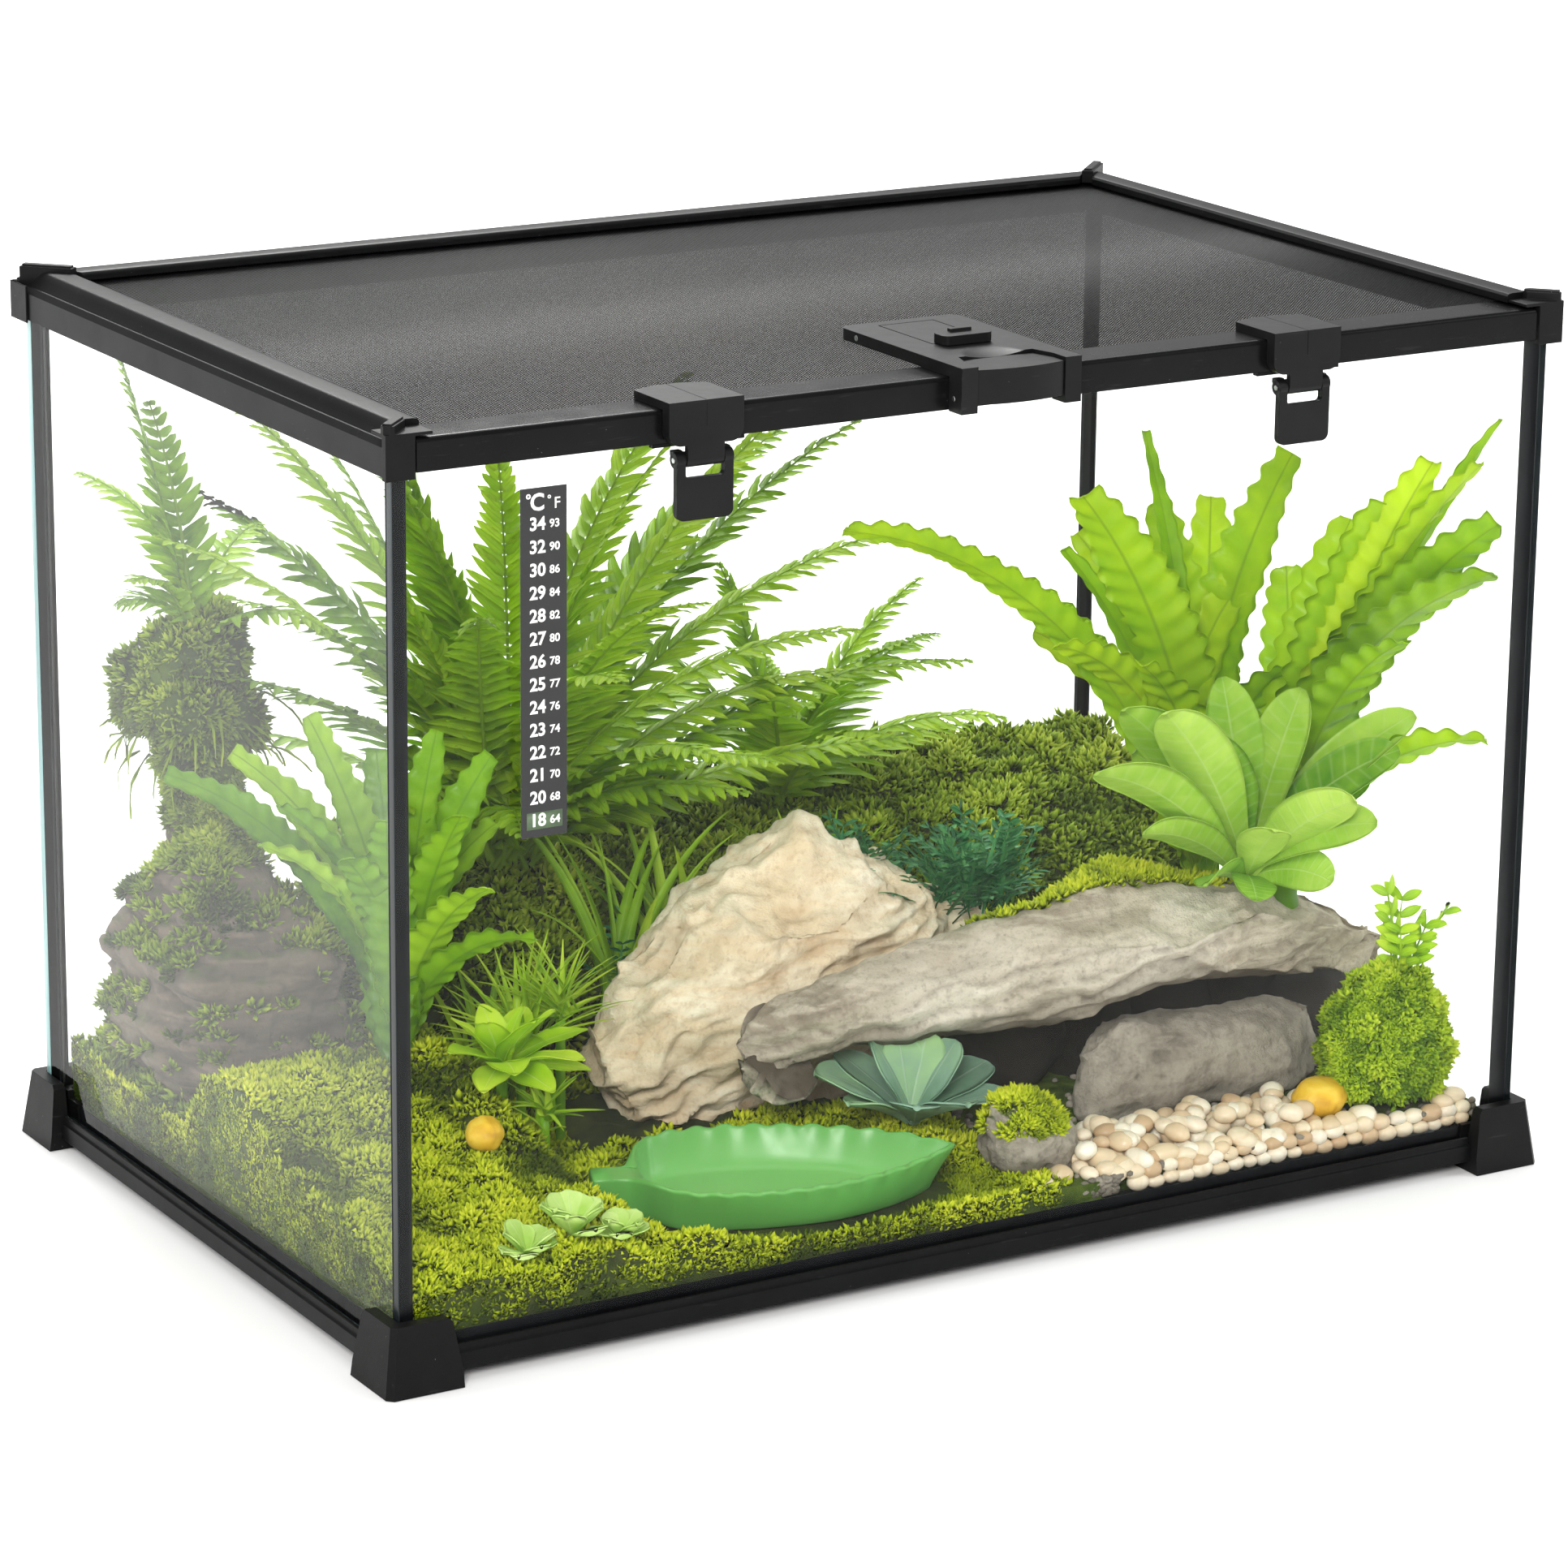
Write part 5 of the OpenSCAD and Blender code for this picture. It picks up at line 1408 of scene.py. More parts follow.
        # painted light and shade: tufts lighter where they face up, with noise
        sh = np.clip(0.45 + 0.35 * dd[:, 2] + fbm(pp / 7.0, 3, 31) * 0.9, 0, 1)
        tufts(buf, pp - dd, dd, 7, 5.0, 1.8, 1.1, 500 + i, lean=0.4, shade=sh)
    for i in range(46):
        a = rng.uniform(0, 2 * np.pi)
        o = np.array([-209 + 20 * math.cos(a), 96 + 24 * math.sin(a), rng.uniform(168, 196)])
        T, N = dirs(math.degrees(a), rng.uniform(-30, 30))
        leaf(buf, o, T, N, rng.uniform(14, 34), 1.3, rng.uniform(50, 85), lambda u: (1 - u ** 2) * 0.9 + 0.1, 8, 1, 0.1, 0.6, 2.0, 0.6,
             rng.uniform(0, 0.6), 0.8, 0.0, rng.uniform(0, 6), rng.uniform(-40, 40))
    v = np.concatenate(buf.v)
    np.clip(v[:, 0], -238.9, 238.9, out=v[:, 0])
    np.clip(v[:, 1], -148.3, 148.3, out=v[:, 1])
    buf.v = [v]
    buf_piece("moss_on_wall_top", buf, M["moss_painted_shade"], "tank")


def blob(buf, c, r, seed, rnd, sub=3, rot=None, rough=0.10, squash=(1, 1, 1)):
    V, F = ICO[sub]
    rng = np.random.default_rng(seed)
    s = np.array(squash) * r
    off = rng.uniform(-50, 50, 3)
    k = 1 + fbm(V * 0.9 + off, 3, 7) * rough * 2.2
    v = V * k[:, None] * s
    a = rng.uniform(0, 2 * np.pi) if rot is None else rot
    t = rng.normal(0, 0.22, 2)
    ca, sa = math.cos(a), math.sin(a)
    R = np.array([[ca, -sa, 0], [sa, ca, 0], [0, 0, 1]])
    Rx = np.array([[1, 0, 0], [0, math.cos(t[0]), -math.sin(t[0])], [0, math.sin(t[0]), math.cos(t[0])]])
    v = v @ (R @ Rx).T + np.asarray(c, float)
    buf.add(v, [F], lr=rnd)


def ico(sub):
    bm = bmesh.new()
    bmesh.ops.create_icosphere(bm, subdivisions=sub, radius=1.0)
    bm.verts.ensure_lookup_table()
    V = np.array([v.co[:] for v in bm.verts])
    F = np.array([[v.index for v in f.verts] for f in bm.faces])
    bm.free()
    return V, F


ICO = {2: ico(2), 3: ico(3), 4: ico(4)}


def build_pebbles():
    rng = np.random.default_rng(101)
    buf = Buf()
    placed = []
    tries = 0
    while len(placed) < 150 and tries < 40000:
        tries += 1
        x = rng.uniform(34, 233)
        y = rng.uniform(-144, -94)
        r = rng.uniform(3.9, 6.3)
        # the bed narrows towards the left and the back
        if y > -100 - 0.10 * abs(x - 110) or (x < 62 and y > -132 + (x - 40) * 0.6):
            continue
        if x > 176 and y > -132:
            continue
        if (x - 174) ** 2 + (y + 126) ** 2 < (r + 10.5) ** 2:
            continue
        if ((x - 208) / 30) ** 2 + ((y + 122) / 25) ** 2 < 1:
            continue
        if (x - 40) ** 2 + (y + 120) ** 2 < (r + 13) ** 2:
            continue
        z = 22.2 + r * 0.5
        ok = True
        for (px, py, pz, pr) in placed:
            if (px - x) ** 2 + (py - y) ** 2 < (0.83 * (pr + r)) ** 2:
                ok = False
                break
        if ok:
            placed.append((x, y, z, r))
    for i, (x, y, z, r) in enumerate(placed):
        y = max(y, -147.4 + r * 1.25)
        blob(buf, (x, y, z), r, 200 + i, rng.uniform(0, 1), 3, None, 0.06,
             (rng.uniform(1.0, 1.2), rng.uniform(0.82, 1.0), rng.uniform(0.62, 0.80)))
    # an upper layer of pebbles resting on the first
    for i in range(44):
        x, y = rng.uniform(58, 166), rng.uniform(-138, -108)
        r = rng.uniform(3.4, 5.2)
        if (x - 174) ** 2 + (y + 126) ** 2 < (r + 12) ** 2:
            continue
        blob(buf, (x, y, 22.2 + 5.8 + r * 0.5), r, 400 + i, rng.uniform(0, 1), 3, None, 0.06,
             (rng.uniform(1.0, 1.2), rng.uniform(0.82, 1.0), rng.uniform(0.62, 0.80)))
    for row, (zz, y0, off) in enumerate(((17.4, -144.6, 0.0), (22.0, -144.2, 4.0), (24.6, -140.6, 1.5))):
        x = 62.0 + off
        while x < 234:
            r = rng.uniform(3.1, 4.2)
            if not (row == 2 and x > 176) and not (row == 0 and x < 70):
                blob(buf, (x, y0, zz + rng.uniform(-0.8, 0.8)), r, 700 + row * 60 + int(x), rng.uniform(0, 1), 3, 0.0, 0.05,
                     (rng.uniform(1.05, 1.25), 0.84, rng.uniform(0.74, 0.9)))
            x += r * 2.05
    buf_piece("pebbles", buf, M["pebble"], "tank", ["river_pebbles"])
    ys = Buf()
    blob(ys, (174, -126, 22.2 + 7.6), 11.0, 501, 0.5, 4, 0.3, 0.09, (1.15, 0.92, 0.74))
    blob(ys, (-160, -56, 50.5), 8.0, 502, 0.5, 4, 1.2, 0.09, (1.2, 0.95, 0.85))
    buf_piece("ochre_stones", ys, M["yellow"], "tank", ["yellow_stones"])
    # small dark gravel on the bare ground, and packed against the glass
    gr = Buf()
    x, y = rng.uniform(20, 236, 2200), rng.uniform(-146, 40, 2200)
    m = moss_mask(x, y) < 0.5
    x, y = x[m][:640], y[m][:640]
    z = np.full(len(x), 22.2)
    xe, ye = rng.uniform(50, 66, 70), np.full(70, -146.2)
    ze = rng.uniform(16.0, 22.8, 70)
    xr, yr = np.full(260, 237.2), rng.uniform(-146, 40, 260)
    zr = rng.uniform(16.0, 22.8, 260)
    x, y, z = np.concatenate([x, xe, xr]), np.concatenate([y, ye, yr]), np.concatenate([z, ze, zr])
    for i, (gx, gy, gz) in enumerate(zip(x, y, z)):
        r = rng.uniform(0.9, 2.1)
        V, F = ICO[2]
        s = r * np.array([rng.uniform(0.9, 1.3), rng.uniform(0.8, 1.1), rng.uniform(0.6, 0.9)])
        k = 1 + fbm(V + rng.uniform(-30, 30, 3), 2, 3) * 0.25
        v = V * k[:, None] * s + np.array([gx, gy, gz + r * 0.3])
        v[:, 0] = np.clip(v[:, 0], -238.9, 238.9)
        v[:, 1] = np.clip(v[:, 1], -148.3, 148.3)
        gr.add(v, [F], lr=rng.uniform(0, 1), lc=rng.uniform(0, 0.7))
    buf_piece("gravel", gr, M["boulder"], "tank")


# ------------------------------------------------------------------ leaves
def leaf(buf, base, T, N, length, width, bend=40.0, prof=None, nl=14, nw=3, cup=0.12, wave=0.0, waven=6.0, thick=0.5,
         rnd=0.5, bend_pow=1.0, roll=0.0, phase=0.0, side_bend=0.0, la0=0.0, la1=1.0, tip_curl=0.0, pleat=0.0, pn=12.0, rib=0.0):
    """A closed leaf. T is its first direction, N its upper side. bend is the droop in degrees over its length."""
    T = np.asarray(T, float)
    T = T / np.linalg.norm(T)
    N = np.asarray(N, float) - np.dot(N, T) * T
    N = N / np.linalg.norm(N)
    S = np.cross(T, N)
    if roll:
        c, s = math.cos(roll), math.sin(roll)
        Nr, Sr = N * c + S * s, S * c - N * s
    else:
        Nr, Sr = N, S
    t = np.linspace(0, 1, nl + 1)
    ph = np.radians(bend) * t ** bend_pow + np.radians(tip_curl) * np.clip((t - 0.7) / 0.3, 0, 1) ** 2
    ps = np.radians(side_bend) * t
    D = (np.cos(ph) * np.cos(ps))[:, None] * T - np.sin(ph)[:, None] * N + (np.cos(ph) * np.sin(ps))[:, None] * S
    Nn = np.cos(ph)[:, None] * N + np.sin(ph)[:, None] * T
    step = length / nl
    mid = (D[1:] + D[:-1]) / 2
    C = np.concatenate([[np.zeros(3)], np.cumsum(mid * step, 0)]) + np.asarray(base, float)
    L = np.cross(D, Nn)
    L /= np.linalg.norm(L, axis=1, keepdims=True)
    Nn = np.cross(L, D)
    if roll:      # the blade turns about its own spine, so the spine stays where it was aimed
        c, s = math.cos(roll), math.sin(roll)
        Nn, L = Nn * c + L * s, L * c - Nn * s
    w = (prof(t) if prof else np.sin(np.pi * np.clip(t * 0.94 + 0.05, 0, 1)) ** 0.7) * width / 2
    w = np.maximum(w, 0.12)
    s = np.linspace(-1, 1, 2 * nw + 1)
    wv = wave * np.sin(waven * 2 * np.pi * t[:, None] + phase + np.where(s > 0, 1.7, 0.0)[None]) * np.abs(s[None]) ** 2 * np.minimum(1, w / (0.3 * w.max()))[:, None]
    h = cup * np.abs(s[None]) ** 1.5 * w[:, None] + wv
    sx = np.ones((nl + 1, 1)) * s[None]
    if pleat:
        # folds between side veins, slanting forward; the margin is scalloped by them
        arg = 2 * np.pi * pn * (t[:, None] - 0.03 * np.abs(s[None])) + phase
        env = np.minimum(1, w / (0.35 * w.max()))[:, None]
        h = h + pleat * np.sin(arg) * np.clip(np.abs(s[None]) * 1.6, 0, 1) * env
        sx = sx * (1 + 0.10 * np.sin(arg + 0.9) * np.abs(s[None]) ** 3 * env)
    P = C[:, None] + L[:, None] * (sx * w[:, None])[..., None] + Nn[:, None] * h[..., None]
    th = thick * 0.5 * (1.0 - 0.7 * np.abs(s[None]) ** 2) * np.minimum(1, w / (0.15 * w.max() + 1e-6))[:, None]
    if rib:
        th = th + rib * (np.abs(s[None]) < 1e-6) * (1 - 0.8 * t[:, None])
    up = P + Nn[:, None] * th[..., None]
    dn = P - Nn[:, None] * th[..., None]
    a, b = nl + 1, 2 * nw + 1
    V = np.concatenate([up.reshape(-1, 3), dn.reshape(-1, 3)])
    o = a * b
    f1 = grid_faces(a, b)
    f2 = grid_faces(a, b, flip=True) + o
    i = np.arange(a - 1)
    e1 = np.stack([i * b, i * b + o, (i + 1) * b + o, (i + 1) * b], 1)
    e2 = np.stack([i * b + b - 1, (i + 1) * b + b - 1, (i + 1) * b + b - 1 + o, i * b + b - 1 + o], 1)
    j = np.arange(b - 1)
    e3 = np.stack([j, j + 1, j + 1 + o, j + o], 1)
    e4 = np.stack([(a - 1) * b + j, (a - 1) * b + j + o, (a - 1) * b + j + 1 + o, (a - 1) * b + j + 1], 1)
    la = np.repeat(la0 + (la1 - la0) * t, b)
    lc = np.tile(s, a)
    buf.add(V, [f1, f2, e1[:, ::-1], e2[:, ::-1], e3[:, ::-1], e4[:, ::-1]], la=np.tile(la, 2), lc=np.tile(lc, 2), lr=rnd)
    return C, D, Nn, L


def dirs(heading, rise):
    a, e = math.radians(heading), math.radians(rise)
    T = np.array([math.cos(a) * math.cos(e), math.sin(a) * math.cos(e), math.sin(e)])
    N = np.array([-math.cos(a) * math.sin(e), -math.sin(a) * math.sin(e), math.cos(e)])
    return T, N


def clip_inside(buf, zmax=338.0):
    v = np.concatenate(buf.v)
    for ax, lim in ((0, 238.6), (1, 147.6)):
        np.clip(v[:, ax], -lim, lim, out=v[:, ax])
    np.clip(v[:, 2], 14.5, zmax, out=v[:, 2])
    buf.v = [v]


def keep_in(p, d, length, margin=4.0, lim=(236.0, 145.0)):
    """Shortens a leaf so that its straight reach stays inside the glass."""
    k = length
    for ax in (0, 1):
        if abs(d[ax]) > 1e-6:
            room = (math.copysign(lim[ax], d[ax]) - p[ax]) / d[ax]
            k = min(k, max(12.0, room))
    return k


def fit_leaf(o, heading, rise, length, bend, power=1.2, side=0.0, lim=(235.5, 144.5)):
    """Lifts a leaf, then shortens it, until its whole spine stays inside the glass."""
    for step in range(40):
        T, N = dirs(heading, rise)
        S = np.cross(T, N)
        t = np.linspace(0, 1, 16)
        ph, ps = np.radians(bend) * t ** power, np.radians(side) * t
        D = (np.cos(ph) * np.cos(ps))[:, None] * T - np.sin(ph)[:, None] * N + (np.cos(ph) * np.sin(ps))[:, None] * S
        C = np.asarray(o, float) + np.cumsum(D * (length / 16), 0)
        if (np.abs(C[:, 0]) < lim[0]).all() and (np.abs(C[:, 1]) < lim[1]).all() and (C[:, 2] < 332).all():
            break
        if rise < 82 and step < 8 and (C[:, 2] < 332).all():
            rise += 2.5
        else:
            length *= 0.94
    return rise, length


def aim(o, tip, bend, power=1.2):
    """Heading, rise and length for a leaf that droops by bend degrees and ends at tip."""
    t = np.linspace(0, 1, 61)
    ph = np.radians(bend) * t ** power
    a, b = np.cos(ph).mean(), np.sin(ph).mean()
    v = np.asarray(tip, float) - np.asarray(o, float)
    ln = np.linalg.norm(v)
    return math.degrees(math.atan2(v[1], v[0])), math.degrees(math.asin(v[2] / ln) + math.atan2(b, a)), ln / math.hypot(a, b)


def facing(T, N, view=(-0.50, -0.82, 0.28)):
    """Roll that turns a blade's broad side to the front of the tank, at most a quarter turn."""
    T = np.asarray(T, float)
    S = np.cross(T, N)
    a = math.atan2(float(np.dot(view, S)), float(np.dot(view, N)))
    while a > math.pi / 2:
        a -= math.pi
    while a < -math.pi / 2:
        a += math.pi
    return a


def frond(buf, base, heading, rise, length, width, bend, seed, pairs=24, rnd=0.5, roll=0.0, side=0.0, fat=1.0):
    """A fern frond: a thin stalk with many leaflets in pairs, longest below the middle."""
    rng = np.random.default_rng(seed)
    rise, length = fit_leaf(base, heading, rise, length, bend, 1.25, side)
    T, N = dirs(heading, rise)
    n = 40
    t = np.linspace(0, 1, n + 1)
    S = np.cross(T, N)
    if roll:
        c, s = math.cos(roll), math.sin(roll)
        N, S = N * c + S * s, S * c - N * s
    ph = np.radians(bend) * t ** 1.25
    ps = np.radians(side) * t
    D = (np.cos(ph) * np.cos(ps))[:, None] * T - np.sin(ph)[:, None] * N + (np.cos(ph) * np.sin(ps))[:, None] * S
    Nn = np.cos(ph)[:, None] * N + np.sin(ph)[:, None] * T
    C = np.concatenate([[np.zeros(3)], np.cumsum((D[1:] + D[:-1]) / 2 * (length / n), 0)]) + np.asarray(base, float)
    L = np.cross(D, Nn)
    L /= np.linalg.norm(L, axis=1, keepdims=True)
    Nn = np.cross(L, D)
    # stalk
    k = 6
    a = np.arange(k) * 2 * np.pi / k
    r = 0.95 * (1 - 0.8 * t) + 0.15
    V = C[:, None] + (L[:, None] * np.cos(a)[None, :, None] + Nn[:, None] * np.sin(a)[None, :, None]) * r[:, None, None]
    f = grid_faces(n + 1, k, wrap_v=True)
    buf.add(V.reshape(-1, 3), [f[:, ::-1], np.arange(k)[None], (n * k + np.arange(k))[::-1][None]], la=0.2, lc=0.0, lr=rnd * 0.6)
    for i in range(pairs):
        q = 0.10 + 0.895 * (i / (pairs - 1)) ** 0.96
        x = q * n
        i0 = min(int(x), n - 1)
        fr = x - i0
        c = C[i0] * (1 - fr) + C[i0 + 1] * fr
        d, nn, l = D[i0], Nn[i0], L[i0]
        env = (1 - q) ** 0.62 * (0.55 + 0.45 * float(smooth(q, 0.08, 0.30))) * 1.15
        pl = width * float(env) + 2.5
        for sg in (-1, 1):
            ang = math.radians(rng.uniform(60, 72) - 22 * q)
            dd = l * sg * math.sin(ang) + d * math.cos(ang) + nn * rng.uniform(-0.05, 0.16)
            leaf(buf, c + l * sg * 0.3, dd, nn + l * sg * rng.uniform(-0.15, 0.1), pl * rng.uniform(0.90, 1.06),
                 min(length / pairs * 1.05, 3.4 + pl * 0.15) * fat, rng.uniform(16, 44),
                 lambda u: (1 - u ** 1.7) ** 0.62 * (0.55 + 0.45 * smooth(u, 0, 0.16)) + 0.02,
                 6, 1, 0.14, 0.30, 2.5, 0.35, np.clip(rnd + rng.normal(0, 0.10), 0, 1), phase=rng.uniform(0, 6), side_bend=sg * -14,
                 la0=0.1, la1=1.0)


def build_ferns():
    b = Buf()
    base = np.array([-70.0, 96.0, 104.0])
    rng = np.random.default_rng(301)
    spec = [  # heading, rise, length, width, bend, roll
        (176, 76, 240, 38, 34, 0.2), (158, 64, 210, 38, 40, -0.3), (128, 80, 210, 36, 34, -0.3), (95, 84, 220, 36, 18, 0.2),
        (62, 80, 220, 38, 34, 0.3), (32, 74, 220, 40, 42, -0.2), (14, 66, 226, 40, 46, 0.1), (-4, 56, 222, 40, 44, -0.1),
        (-22, 46, 200, 40, 46, -0.1), (-46, 62, 190, 38, 56, 0.2), (-72, 74, 190, 38, 62, -0.2), (-98, 66, 180, 38, 62, 0.1),
        (-128, 70, 195, 38, 56, 0.2), (-160, 66, 200, 38, 50, 0.0), (190, 56, 180, 36, 46, 0.2), (12, 40, 170, 36, 40, 0.0),
        (-58, 40, 130, 34, 46, 0.1), (-110, 44, 130, 34, 52, -0.1), (-8, 78, 210, 38, 38, 0.15), (-60, 84, 200, 36, 34, 0.3),
        (205, 80, 210, 36, 30, -0.2), (-84, 56, 150, 36, 60, 0.0), (-35, 54, 165, 38, 56, 0.1),
        (-26, 30, 165, 36, 26, 0.1), (4, 28, 170, 36, 26, -0.1), (166, 48, 150, 34, 50, 0.1), (150, 74, 225, 36, 26, 0.2),
        (-12, 64, 235, 38, 38, 0.0), (-140, 48, 150, 34, 56, 0.1), (182, 66, 215, 36, 44, -0.2), (-66, 48, 160, 36, 50, -0.1)]
    for i, (h, r, ln, w, bd, ro) in enumerate(spec):
        o = base + np.array([rng.uniform(-12, 12), rng.uniform(-8, 8), rng.uniform(-3, 3)])
        frond(b, o, h, r, ln, w * 0.74, bd, 310 + i, int(ln / 6.4), rng.uniform(0.15, 1.0), ro, rng.uniform(-12, 12), 0.95)
    clip_inside(b)
    buf_piece("fern_back", b, M["fern"], "tank", ["boston_fern"])
    # a second crown at the left rear corner on the rock wall, and one at the rear middle
    b = Buf()
    for cx, cy, cz, sp in ((-204, 98, 214, [(150, 80, 120, 26, 6), (172, 44, 82, 26, 84), (138, 58, 92, 24, 62), (30, 52, 72, 22, 60),
                                            (-60, 40, 60, 20, 70), (204, 58, 76, 24, 82), (88, 62, 96, 24, 46)]),
                           (66, 112, 102, [(20, 56, 120, 32, 60), (80, 70, 110, 30, 50), (-40, 50, 110, 32, 58), (-90, 58, 106, 30, 62),
                                           (150, 56, 116, 32, 58), (200, 48, 106, 30, 56), (-10, 34, 100, 30, 42), (110, 80, 120, 30, 26),
                                           (0, 74, 116, 30, 46), (-60, 70, 120, 30, 50), (230, 66, 120, 30, 50)])):
        for i, (h, r, ln, w, bd) in enumerate(sp):
            o = np.array([cx, cy, cz], float) + np.array([rng.uniform(-4, 4), rng.uniform(-4, 4), 0])
            frond(b, o, h, r, ln, w * 0.74, bd, 340 + i + int(cx), int(ln / 5.4), rng.uniform(0.1, 0.9), rng.uniform(-0.2, 0.2), rng.uniform(-14, 14), 0.84)
    clip_inside(b)
    buf_piece("fern_corner", b, M["fern"], "tank")


def strap_prof(u):
    """Nearly even width with a blunt, slightly notched end."""
    return np.clip(np.sin(np.pi * np.clip(u * 0.875 + 0.09, 0, 1)) ** 0.42, 0, 1) * (0.40 + 0.60 * smooth(u, 0, 0.22))


def build_straps():
    b = Buf()
    rng = np.random.default_rng(401)
    base = np.array([-166.0, 4.0, 61.0])
    for i, (tip, w, bd, ro) in enumerate([
            ((-236, 58, 172), 19, 62, 0.2), ((-216, 18, 152), 23, 66, -0.3), ((-216, 42, 182), 20, 54, 0.3), ((-210, 12, 168), 21, 60, -0.2),
            ((-196, -14, 152), 22, 58, 0.3), ((-134, -14, 184), 23, 30, 0.5), ((-146, 8, 190), 23, 16, -0.4), ((-157, -32, 168), 22, 34, 0.3),
            ((-146, 22, 164), 21, 40, 0.1), ((-160, 32, 178), 22, 26, -0.3), ((-152, -44, 142), 21, 56, 0.2), ((-184, -24, 168), 22, 40, 0.3),
            ((-122, 6, 150), 20, 62, -0.2), ((-190, 30, 196), 21, 22, 0.2), ((-130, -40, 118), 18, 78, 0.0)]):
        o = base + np.array([rng.uniform(-5, 5), rng.uniform(-5, 5), 0])
        h, r, ln = aim(o, tip, bd, 1.3)
        T, N = dirs(h, r)
        leaf(b, o, T, N, ln, w * 0.88, bd, strap_prof, 84, 4, 0.20, 1.0, 4.0, 0.7, rng.uniform(0.1, 0.95), 1.3,
             ro * 0.5 + facing(T, N) * 0.5, rng.uniform(0, 6), pleat=0.8, pn=ln / 7.5, rib=0.5)
    clip_inside(b)
    buf_piece("strap_fern_leaves", b, M["strap"], "tank", ["strap_fern"])

    b = Buf()
    for crown, spec in (
            (np.array([178.0, -34.0, 92.0]), [
                ((113, -40, 262), 36, 34, 0.35), ((209, -46, 270), 34, 30, -0.45), ((144, -36, 284), 10, 14, 0.2),
                ((14, -24, 256), 21, 62, 0.15), ((96, -50, 206), 22, 66, 0.4), ((118, -20, 236), 12, 34, 0.1), ((199, -40, 226), 27, 66, -0.5),
                ((160, -20, 250), 30, 24, -0.1), ((206, 6, 242), 28, 30, 0.3), ((150, 20, 230), 28, 40, 0.2), ((120, 4, 196), 26, 60, 0.2),
                ((190, -70, 190), 26, 44, 0.3), ((130, -60, 196), 25, 54, -0.3)]),
            (np.array([190.0, -72.0, 106.0]), [
                ((231, -138, 282), 24, 34, 0.5), ((236, -143, 300), 9, 18, 0.0), ((236, -144, 259), 33, 40, -0.4),
                ((236, -144, 238), 36, 64, 0.25), ((206, -112, 264), 34, 20, 0.3), ((236, -143, 172), 22, 62, 0.1),
                ((217, -126, 282), 26, 22, -0.5), ((228, -60, 244), 28, 40, 0.2), ((226, -20, 216), 26, 52, -0.2), ((200, -134, 214), 28, 56, 0.2)])):
        for tip, w, bd, ro in spec:
            o = crown + np.array([rng.uniform(-4, 4), rng.uniform(-4, 4), rng.uniform(-3, 3)])
            h, r, ln = aim(o, tip, bd, 1.4)
            T, N = dirs(h, r)
            leaf(b, o, T, N, ln, w * 0.90, bd, strap_prof, 110, 5, 0.22, 1.0, 3.0, 0.8, rng.uniform(0.2, 1.0), 1.4,
                 ro * 0.5 + facing(T, N) * 0.55, rng.uniform(0, 6), pleat=1.1 if w > 14 else 0.3, pn=ln / 10.0, rib=0.8)
    # short stems below the crowns
    for sx_, sy_, ztop in ((178, -34, 94), (190, -72, 108)):
        k, n = 14, 12
        zz = np.linspace(18 if sy_ > -50 else 84, ztop, n)
        rr = 8.4 + 0.6 * np.sin(zz * 0.5)
        a = np.arange(k) * 2 * np.pi / k
        V = np.stack([sx_ + rr[:, None] * np.cos(a), sy_ + rr[:, None] * np.sin(a), np.repeat(zz[:, None], k, 1)], -1)
        f = grid_faces(n, k, wrap_v=True)
        b.add(V.reshape(-1, 3), [f[:, ::-1], np.arange(k)[::-1][None], ((n - 1) * k + np.arange(k))[None]], la=0.0, lc=0.5, lr=0.0)
    clip_inside(b)
    buf_piece("nest_fern_leaves", b, M["bird"], "tank", ["birds_nest_fern"])


def obovate(u):
    return np.clip(0.22 + 0.78 * smooth(u, 0.0, 0.66), 0, 1) * np.clip(1 - np.clip((u - 0.66) / 0.345, 0, 1) ** 2.4, 0, 1) ** 0.55


